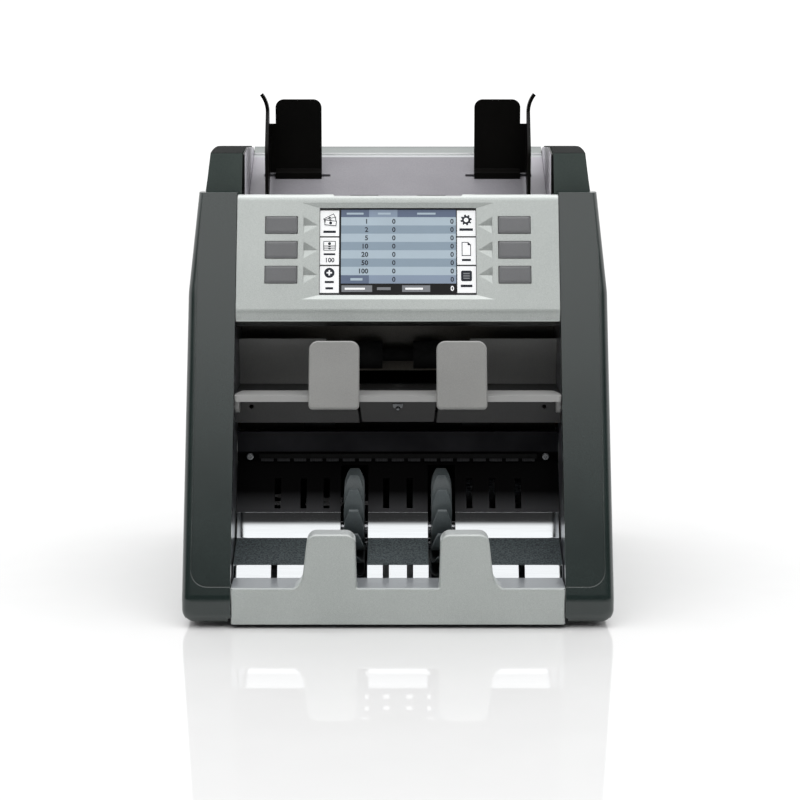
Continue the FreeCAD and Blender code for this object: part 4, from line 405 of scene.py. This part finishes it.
# Pale cover edges: wear, and on the front covers also a painted highlight along their edges.
cover_wear_and_highlight = srgb(150, 156, 154)
finishes = {
    # Front covers: their strong pale edges are partly wear and partly a painted highlight.
    "cover_grey": moulded("cover_grey", srgb(29, 40, 38), srgb(37, 49, 47), rough=(0.16, 0.22),
                          depth=0.006 * MM, worn=cover_wear_and_highlight, wear=0.5, specular=0.85),
    # Rear covers: their tops are painted nearly black, painted shade.
    "ear_grey": moulded("ear_grey", srgb(63, 71, 69), srgb(75, 83, 80), worn=cover_wear_and_highlight, wear=0.2,
                        specular=0.02, painted_light_faces=[("Z", 0.6, 0.9, srgb(14, 18, 17))]),
    # Display bezel: its pale top tone is a painted highlight.
    "silver_paint": silver("silver_paint", srgb(176, 182, 179), srgb(204, 209, 206), srgb(228, 233, 231)),
    # Lower front panel: its ledge top is painted darker, painted shade, and the tops of its uprights paler,
    # painted light.
    "ledge_paint": silver("ledge_paint", srgb(176, 182, 179), srgb(204, 209, 206), srgb(153, 157, 161),
                          coat=0.12, crown_metal=0.0, painted_light_zone=(UPRIGHT_TOPS, srgb(206, 210, 210))),
    # Rear top cover: its top is painted darker, painted shade, and its upright front near white, a painted
    # highlight.
    "rim_paint": silver("rim_paint", srgb(144, 149, 147), srgb(166, 171, 169), srgb(140, 145, 144),
                        painted_front_highlight=srgb(250, 252, 252)),
    "floor_paint": hopper_sheet("floor_paint", HOPPER_TRACK, HOPPER_END),
    # Hopper cheeks: the floor's lilac painted far paler, painted light against the shade on these upright
    # walls.
    "cheek_paint": moulded("cheek_paint", srgb(240, 237, 245), srgb(246, 243, 251), rough=(0.34, 0.44),
                           grain=0.8 * MM, depth=0.006 * MM, rim=srgb(5, 5, 5)),
    "black_plastic": moulded("black_plastic", srgb(3, 3, 2), srgb(10, 8, 6), rough=(0.30, 0.44),
                             worn=srgb(50, 47, 45), wear=0.25, specular=0.10),
    # Transport guides: black parts painted mid grey, painted light that lifts the deep shade they sit in.
    "guide_black": moulded("guide_black", srgb(92, 88, 81), srgb(112, 107, 99), rough=(0.26, 0.38),
                           worn=srgb(120, 116, 109), wear=0.3, specular=0.3),
    "pocket_black": pocket_sheet("pocket_black", BACK_PANEL, BACK_REFLECTION_TO),
    "tray_grey": moulded("tray_grey", srgb(44, 44, 44), srgb(60, 60, 60), rough=(0.32, 0.46),
                         worn=srgb(96, 96, 96)),
    "plate_grey": moulded("plate_grey", srgb(140, 140, 139), srgb(158, 158, 157), rough=(0.32, 0.46),
                          worn=srgb(110, 110, 110)),
    # Reject stopper: its tops and the upright front of its bar are painted paler, painted light against the
    # shade under the bezel.
    "stopper_grey": moulded("stopper_grey", srgb(142, 142, 140), srgb(156, 156, 154), rough=(0.38, 0.5),
                            worn=srgb(214, 214, 212), wear=0.7,
                            painted_light_faces=[("Z", 0.6, 0.9, srgb(172, 172, 171)),
                                   ("Y", -0.955, -0.985, srgb(168, 168, 167))]),
    "mirror_steel": mirror_sheet("mirror_steel", STEEL_BAND_FROM, STEEL_BAND_TO),
    "wheel_grey": moulded("wheel_grey", srgb(80, 88, 90), srgb(106, 114, 116), rough=(0.34, 0.48),
                          worn=srgb(170, 176, 178), wear=0.6),
    "bright_fitting": metal("bright_fitting", srgb(66, 68, 70), srgb(132, 134, 136), rough=(0.12, 0.24)),
    "screw_steel": metal("screw_steel", srgb(96, 98, 100), srgb(150, 152, 154), rough=(0.25, 0.4)),
    "key_grey": moulded("key_grey", srgb(108, 109, 111), srgb(124, 125, 127), rough=(0.42, 0.55),
                        grain=0.3 * MM, worn=srgb(74, 75, 77), wear=0.6),
    "screen_glass": moulded("screen_glass", srgb(10, 12, 16), srgb(18, 21, 27), rough=(0.06, 0.12),
                            grain=6 * MM, depth=0.002 * MM),
    "screen_picture": moulded("screen_picture", srgb(60, 66, 76), srgb(86, 94, 106), rough=(0.25, 0.4)),
    "board_green": board("board_green"),
    # Power supply: a dark steel can, darkened as painted shade so the back guide's slots look dark.
    "supply": metal("supply", srgb(30, 31, 32), srgb(48, 49, 50), stretch=(0.03, 1.0, 1.0)),
    "zinc_sheet": spangled("zinc_sheet"),
    "shaft_steel": metal("shaft_steel", srgb(150, 152, 155), srgb(205, 207, 210), rough=(0.14, 0.28),
                         stretch=(1.0, 0.05, 0.05)),
    "roller_rubber": rubber("roller_rubber", srgb(26, 26, 27), srgb(52, 52, 53), rib=1.5 * MM),
    "foot_rubber": rubber("foot_rubber", srgb(18, 18, 18), srgb(38, 38, 38)),
    "belt_rubber": rubber("belt_rubber", srgb(16, 16, 17), srgb(36, 36, 37), rib=2.0 * MM, direction="Z"),
    "bush_bronze": metal("bush_bronze", srgb(128, 92, 48), srgb(182, 140, 84), rough=(0.3, 0.45),
                         grain=0.5 * MM),
    "motor_metal": metal("motor_metal", srgb(118, 121, 124), srgb(160, 163, 166), stretch=(0.05, 1.0, 1.0)),
    "pulley_metal": metal("pulley_metal", srgb(160, 163, 166), srgb(204, 206, 208),
                          stretch=(1.0, 0.05, 0.05)),
    "gear_plastic": moulded("gear_plastic", srgb(204, 202, 192), srgb(226, 224, 214), rough=(0.4, 0.55)),
    "brush_tufts": bristles("brush_tufts", BRUSH_BAR),
    "socket_black": moulded("socket_black", srgb(12, 12, 13), srgb(26, 26, 27), rough=(0.35, 0.5),
                            worn=srgb(80, 80, 82), wear=0.4),
    "sensor_black": moulded("sensor_black", srgb(14, 14, 18), srgb(30, 30, 36), rough=(0.12, 0.25)),
}

FINISH_NODES = {
    "cover_grey": "left_front_cover right_front_cover",
    "ear_grey": "left_rear_cover right_rear_cover rear_door rear_lower_panel",
    "silver_paint": "display_bezel",
    "ledge_paint": "front_lower_panel",
    "rim_paint": "rear_top_cover",
    "floor_paint": "hopper_floor",
    "cheek_paint": "hopper_cheeks",
    "black_plastic": "left_guide right_guide diverter_gate",
    "guide_black": "transport_guides",
    "pocket_black": "stacker_back_guide",
    "tray_grey": "reject_tray",
    "plate_grey": "reject_back_plates",
    "stopper_grey": "reject_stopper",
    "mirror_steel": "stacker_plate",
    "wheel_grey": "stacker_wheels",
    "bright_fitting": "pocket_fittings",
    "screw_steel": "cover_screws",
    "key_grey": "left_key_top left_key_middle left_key_bottom "
                "right_key_top right_key_middle right_key_bottom",
    "screen_glass": "screen_lens",
    "screen_picture": "screen_module",
    "board_green": "key_board main_board",
    "supply": "power_supply",
    "zinc_sheet": "base_plate left_side_frame right_side_frame",
    "shaft_steel": "stacker_shaft frame_spacers upper_pinch_roller lower_pinch_roller",
    "roller_rubber": "transport_drum upper_transport_roller lower_transport_roller "
                     "feed_rollers pickup_rollers retard_roller reject_exit_roller",
    "foot_rubber": "rubber_feet",
    "belt_rubber": "drive_belts",
    "bush_bronze": "shaft_bushes",
    "motor_metal": "main_motor feed_motor",
    "pulley_metal": "main_motor_pulley feed_motor_pulley",
    "gear_plastic": "guide_pinion",
    "brush_tufts": "antistatic_brush",
    "socket_black": "rear_sockets power_switch",
    "sensor_black": "image_sensor",
}

for finish, names in FINISH_NODES.items():
    for name in names.split():
        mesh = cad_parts[name].data
        mesh.materials.clear()
        mesh.materials.append(finishes[finish])

# The screen's picture, in the plane of the sloping display: x across, v up the slope, n out of the glass

SCREEN_ORIGIN = Vector((0.0, -56.37, 220.8))
SCREEN_UP = Vector((0.0, 0.342020, 0.939693))
SCREEN_OUT = Vector((0.0, -0.939693, 0.342020))
GLASS_N = -2.8
GLASS_CLEAR = 0.01
LAYER_N = 0.05
BOLD = 0.10
DIGIT_SHARE = 0.70


def on_screen(x, v, n):
    """A point of the screen's plane, in millimetres, as a place in metres."""
    return (SCREEN_ORIGIN + Vector((x, 0.0, 0.0)) + SCREEN_UP * v + SCREEN_OUT * n) * MM


class Picture:
    """Thin raised shapes on the screen glass, each with its own lit colour."""

    def __init__(self, name, colours):
        self.name = name
        self.colours = list(colours)
        self.mesh = bmesh.new()

    def shape(self, outline, colour, layer):
        """A closed outline of (x, v) points as a thin plate on the given layer."""
        low = GLASS_N + GLASS_CLEAR + LAYER_N * layer
        backs = [self.mesh.verts.new(on_screen(x, v, low)) for x, v in outline]
        fronts = [self.mesh.verts.new(on_screen(x, v, low + LAYER_N)) for x, v in outline]
        faces = [self.mesh.faces.new(fronts), self.mesh.faces.new(backs[::-1])]
        for i in range(len(outline)):
            j = (i + 1) % len(outline)
            faces.append(self.mesh.faces.new((backs[i], backs[j], fronts[j], fronts[i])))
        for face in faces:
            face.material_index = self.colours.index(colour)

    def cell(self, left, low, right, high, colour, layer=0):
        """A rectangle."""
        self.shape([(left, low), (right, low), (right, high), (left, high)], colour, layer)

    def disc(self, x, v, radius, colour, layer, teeth=0, depth=0.0, count=48):
        """A disc, or a cog where teeth is given."""
        outline = []
        for i in range(count):
            angle = 2 * math.pi * i / count
            swing = depth if teeth and math.sin(teeth * angle) < 0 else 0.0
            outline.append((x + (radius - swing) * math.cos(angle), v + (radius - swing) * math.sin(angle)))
        self.shape(outline, colour, layer)

    def number(self, text, right, low, height, colour, layer):
        """A plain number that ends at right and stands on low."""
        curve = bpy.data.curves.new(self.name + "_number", "FONT")
        curve.body = text
        curve.size = height / DIGIT_SHARE
        curve.align_x = "RIGHT"
        curve.extrude = LAYER_N / 2
        curve.resolution_u = 3
        curve.offset = BOLD
        holder = bpy.data.objects.new(self.name + "_number", curve)
        bpy.context.scene.collection.objects.link(holder)
        bpy.context.view_layer.update()
        glyphs = bpy.data.meshes.new_from_object(holder.evaluated_get(bpy.context.evaluated_depsgraph_get()))
        centre = GLASS_N + GLASS_CLEAR + LAYER_N * (layer + 0.5)
        for vertex in glyphs.vertices:
            x, v, n = vertex.co
            vertex.co = on_screen(right + x, low + v, centre + n)
        known = len(self.mesh.faces)
        self.mesh.from_mesh(glyphs)
        self.mesh.faces.ensure_lookup_table()
        for face in self.mesh.faces[known:]:
            face.material_index = self.colours.index(colour)
        bpy.data.objects.remove(holder)
        bpy.data.meshes.remove(glyphs)
        bpy.data.curves.remove(curve)

    def done(self):
        """Makes the shapes one piece that rides on the chassis."""
        bmesh.ops.recalc_face_normals(self.mesh, faces=self.mesh.faces)
        mesh = bpy.data.meshes.new(self.name)
        self.mesh.to_mesh(mesh)
        self.mesh.free()
        for colour in self.colours:
            mesh.materials.append(screen_colours[colour])
        piece = bpy.data.objects.new(self.name, mesh)
        bpy.context.scene.collection.objects.link(piece)
        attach(piece, "chassis")


GLOW = 0.35
screen_colours = {
    "light": lit("screen_light", srgb(168, 183, 194), GLOW),
    "dark": lit("screen_dark", srgb(135, 151, 165), GLOW),
    "header": lit("screen_header", srgb(93, 105, 127), GLOW),
    "total": lit("screen_total", srgb(132, 146, 165), GLOW),
    "white": lit("screen_white", srgb(246, 247, 248), GLOW),
    "grey": lit("screen_grey", srgb(122, 124, 128), GLOW),
    "ink": lit("screen_ink", srgb(24, 28, 38), GLOW),
    "black": lit("screen_black", srgb(8, 8, 10), GLOW),
}

# The table: rows of plain numbers between a header and a line of status fields

GROUND = (-36.4, -27.6, 36.9, 27.6)
TABLE_LEFT = -35.4
TABLE_RIGHT = 36.2
COLUMN_1 = -18.0
COLUMN_2 = -0.3
HEADER_TOP = 27.2
ROW_TOP = 22.4
ROW_H = 5.33
VALUES = ("1", "2", "5", "10", "20", "50", "100")
VALUE_END = COLUMN_1 - 0.5
ZERO_ENDS = (COLUMN_2 - 1.2, TABLE_RIGHT - 1.4)
NUMBER_H = 3.0
HEADER_BARS = ((-32.0, -21.5), (-12.5, -4.5), (12.0, 23.5))
TOTAL_BAR = (-29.5, -22.0)
STATUS_FIELDS = ((-35.0, -16.0), (2.6, 20.0))
STATUS_BAR = (-13.0, -4.5)
BAR_BOTTOM = -26.4

table = Picture("screen_table", ["light", "dark", "header", "total", "white", "grey", "ink", "black"])
table.cell(*GROUND, "black")
table.cell(TABLE_LEFT, ROW_TOP, COLUMN_1, HEADER_TOP, "header", 1)
table.cell(COLUMN_1, ROW_TOP, COLUMN_2, HEADER_TOP, "total", 1)
table.cell(COLUMN_2, ROW_TOP, TABLE_RIGHT, HEADER_TOP, "header", 1)
for left, right in HEADER_BARS:
    table.cell(left, ROW_TOP + 1.7, right, HEADER_TOP - 1.9, "light", 2)
for row, value in enumerate(VALUES):
    top = ROW_TOP - ROW_H * row
    table.cell(TABLE_LEFT, top - ROW_H, TABLE_RIGHT, top, ("light", "dark")[row % 2], 1)
    base = top - ROW_H / 2 - NUMBER_H / 2
    table.number(value, VALUE_END, base, NUMBER_H, "ink", 2)
    for right in ZERO_ENDS:
        table.number("0", right, base, NUMBER_H, "ink", 2)
total_top = ROW_TOP - ROW_H * len(VALUES)
total_low = total_top - ROW_H
table.cell(TABLE_LEFT, total_low, COLUMN_1, total_top, "header", 1)
table.cell(COLUMN_1, total_low, TABLE_RIGHT, total_top, "total", 1)
table.cell(TOTAL_BAR[0], total_low + 1.9, TOTAL_BAR[1], total_top - 1.9, "light", 2)
for right in ZERO_ENDS:
    table.number("0", right, total_low + ROW_H / 2 - NUMBER_H / 2, NUMBER_H, "ink", 2)
for left, right in STATUS_FIELDS:
    table.cell(left, BAR_BOTTOM + 0.8, right, total_low - 1.2, "grey", 1)
    table.cell(left + 2.0, BAR_BOTTOM + 2.2, right - 4.5, total_low - 2.7, "white", 2)
table.cell(STATUS_BAR[0], BAR_BOTTOM + 2.0, STATUS_BAR[1], total_low - 2.4, "grey", 1)
table.number("0", ZERO_ENDS[1], BAR_BOTTOM + 1.6, NUMBER_H, "white", 1)
table.done()

# The icons: notes in a fan, notes in a stack and a plus at the left, a cog, a page and a list at the right

ICON_CELLS = ((10.2, 26.7), (-8.2, 9.2), (-26.2, -9.2))
ICON_HALF = 5.9
ICON_X = 42.6


def icon_column(name, side):
    """Three white cells beside the table, the ground of one column of icons."""
    column = Picture(name, ["white", "grey", "ink"])
    for low, high in ICON_CELLS:
        column.cell(side * ICON_X - ICON_HALF, low, side * ICON_X + ICON_HALF, high, "white")
    return column


NOTE_H = 3.4
NOTE_RIM = 0.45
NOTE_MARK = 0.28
NOTE_LAYERS = 3


def note(column, x, v, width, turn, layer):
    """A blank note: a dark outline with a pale middle and a round mark."""
    cos_t, sin_t = math.cos(math.radians(turn)), math.sin(math.radians(turn))
    for rim, colour, step in ((0.0, "ink", 0), (NOTE_RIM, "white", 1)):
        half_w, half_h = width / 2 - rim, NOTE_H / 2 - rim
        corners = [(-half_w, -half_h), (half_w, -half_h), (half_w, half_h), (-half_w, half_h)]
        turned = [(x + a * cos_t - b * sin_t, v + a * sin_t + b * cos_t) for a, b in corners]
        column.shape(turned, colour, layer + step)
    column.disc(x, v, NOTE_MARK * NOTE_H, "ink", layer + 2, count=20)


def bar(column, x, half, low, high, colour="ink", layer=1):
    """A bar that reaches half to each side of x."""
    column.cell(x - half, low, x + half, high, colour, layer)


def page(column, x, half, low, high, corner, colour, layer):
    """A page with its upper right corner cut off."""
    column.shape([(x - half, low), (x + half, low), (x + half, high - corner), (x + half - corner, high),
                  (x - half, high)], colour, layer)


FAN_TURNS = (28.0, 12.0, -6.0)
FAN_TOP = 21.6
FAN_STEP = 1.5
FAN_SHIFT = 0.3
FAN_NOTE_W = 7.4
STACK_COUNT = 3
STACK_LOW = 2.6
STACK_STEP = 1.3
STACK_NOTE_W = 7.6
PLUS_V = -13.4
PLUS_R = 3.2
PLUS_REACH = 1.7
PLUS_HALF = 0.5

left_icons = icon_column("screen_icons_left", -1)
for step, turn in enumerate(FAN_TURNS):
    note(left_icons, -ICON_X + FAN_SHIFT * step, FAN_TOP - FAN_STEP * step, FAN_NOTE_W, turn,
         1 + NOTE_LAYERS * step)
bar(left_icons, -ICON_X, 3.9, 12.2, 13.7)
for step in range(STACK_COUNT):
    note(left_icons, -ICON_X, STACK_LOW + STACK_STEP * step, STACK_NOTE_W, 0.0, 1 + NOTE_LAYERS * step)
bar(left_icons, -ICON_X, 3.6, -2.1, -0.9)
left_icons.number("100", -ICON_X + 3.1, -6.6, 2.8, "ink", 1)
left_icons.disc(-ICON_X, PLUS_V, PLUS_R, "ink", 1)
bar(left_icons, -ICON_X, PLUS_REACH, PLUS_V - PLUS_HALF, PLUS_V + PLUS_HALF, "white", 2)
bar(left_icons, -ICON_X, PLUS_HALF, PLUS_V - PLUS_REACH, PLUS_V + PLUS_REACH, "white", 2)
bar(left_icons, -ICON_X, 2.8, -20.0, -18.6)
bar(left_icons, -ICON_X, 2.4, -24.0, -22.6)
left_icons.done()

COG_V = 20.6
COG_R = 3.5
COG_TEETH = 8
COG_DEPTH = 0.9
COG_HOLE_R = 1.4
FOLD = ((0.8, 4.3), (2.6, 4.3), (0.8, 6.1))
LIST_V = -15.4
LIST_HALF = 3.4
LIST_LINES = (-1.5, 0.0, 1.5)
LIST_LINE_HALF = 0.4
OCTAGON = ((-0.8, -1), (0.8, -1), (1, -0.8), (1, 0.8), (0.8, 1), (-0.8, 1), (-1, 0.8), (-1, -0.8))

right_icons = icon_column("screen_icons_right", 1)
right_icons.disc(ICON_X, COG_V, COG_R, "ink", 1, teeth=COG_TEETH, depth=COG_DEPTH, count=96)
right_icons.disc(ICON_X, COG_V, COG_HOLE_R, "white", 2)
bar(right_icons, ICON_X, 4.2, 13.6, 15.2)
page(right_icons, ICON_X, 2.9, -2.6, 6.4, 1.8, "ink", 1)
page(right_icons, ICON_X, 2.4, -2.1, 5.9, 1.6, "white", 2)
right_icons.shape([(ICON_X + x, v) for x, v in FOLD], "ink", 3)
bar(right_icons, ICON_X, 2.8, -5.9, -4.5)
right_icons.shape([(ICON_X + LIST_HALF * a, LIST_V + LIST_HALF * b) for a, b in OCTAGON], "ink", 1)
for step in LIST_LINES:
    bar(right_icons, ICON_X, 2.0, LIST_V + step - LIST_LINE_HALF, LIST_V + step + LIST_LINE_HALF, "grey", 2)
bar(right_icons, ICON_X, 3.6, -22.6, -21.0)
right_icons.done()

# Floor, light and camera

FLOOR_HALF = 6.0
floor_mesh = bpy.data.meshes.new("floor")
floor_mesh.from_pydata([(-FLOOR_HALF, -FLOOR_HALF, 0.0), (FLOOR_HALF, -FLOOR_HALF, 0.0),
                        (FLOOR_HALF, FLOOR_HALF, 0.0), (-FLOOR_HALF, FLOOR_HALF, 0.0)], [], [(0, 1, 2, 3)])
floor = bpy.data.objects.new("floor", floor_mesh)
bpy.context.scene.collection.objects.link(floor)
floor_mesh.materials.append(moulded("floor_white", srgb(242, 242, 242), srgb(244, 244, 244),
                                    rough=(0.015, 0.03), grain=40 * MM, depth=0.0, patch=400 * MM,
                                    specular=0.28))

SOFTBOX_AT = Vector((0.0, -0.10, 1.3))
SOFTBOX_AIM = Vector((0.0, 0.0, 0.15))
softbox_data = bpy.data.lights.new("top_softbox", "AREA")
softbox_data.shape = "RECTANGLE"
softbox_data.size = 1.0
softbox_data.size_y = 0.8
softbox_data.energy = 2.5
softbox = bpy.data.objects.new("top_softbox", softbox_data)
softbox.location = SOFTBOX_AT
softbox.rotation_euler = (SOFTBOX_AIM - SOFTBOX_AT).to_track_quat("-Z", "Y").to_euler()
bpy.context.scene.collection.objects.link(softbox)

# Studio: white behind the object, and in front of it a wide softbox that starts about 30 degrees up.
# The ramp holds half of each level.
FRONT_LEVELS = ((0.00, 0.02), (0.45, 0.04), (0.53, 1.25), (0.80, 1.38), (1.00, 1.00))
BACK_LEVEL = 1.0
RAMP_SHARE = 0.5
WORLD_STRENGTH = 2.25
world = bpy.data.worlds.new("studio")
world.use_nodes = True
sky = world.node_tree
toward = add(sky, "SeparateXYZ", None, {0: add(sky, "TexCoord").outputs["Generated"]})
ramp = add(sky, "ValToRGB", None, {"Fac": toward.outputs["Z"]})
ramp.color_ramp.elements.remove(ramp.color_ramp.elements[1])
for index, (position, level) in enumerate(FRONT_LEVELS):
    stop = ramp.color_ramp.elements[0] if index == 0 else ramp.color_ramp.elements.new(position)
    stop.position = position
    stop.color = (level * RAMP_SHARE, level * RAMP_SHARE, level * RAMP_SHARE, 1.0)
behind = spread(sky, toward.outputs["Y"], 0.0, 1.0, -0.25, 0.15)
white = (BACK_LEVEL * RAMP_SHARE, BACK_LEVEL * RAMP_SHARE, BACK_LEVEL * RAMP_SHARE, 1.0)
feed(sky, sky.nodes["Background"], {"Color": mix(sky, behind, ramp.outputs["Color"], white),
                                    "Strength": WORLD_STRENGTH})
bpy.context.scene.world = world
bpy.context.scene.view_settings.view_transform = "Standard"

# The camera stands in front of the machine, at the photograph's viewing angle
CAMERA_AT = (0.0, -1.2468, 0.3274)
CAMERA_DOWN = 8.5
camera_data = bpy.data.cameras.new("camera")
camera_data.lens = 86.43
camera_data.sensor_width = 36.0
camera_data.shift_x = 0.0026
camera_data.shift_y = -0.0446
camera = bpy.data.objects.new("camera", camera_data)
camera.location = CAMERA_AT
camera.rotation_euler = (math.radians(90.0 - CAMERA_DOWN), 0.0, 0.0)
bpy.context.scene.collection.objects.link(camera)
bpy.context.scene.camera = camera
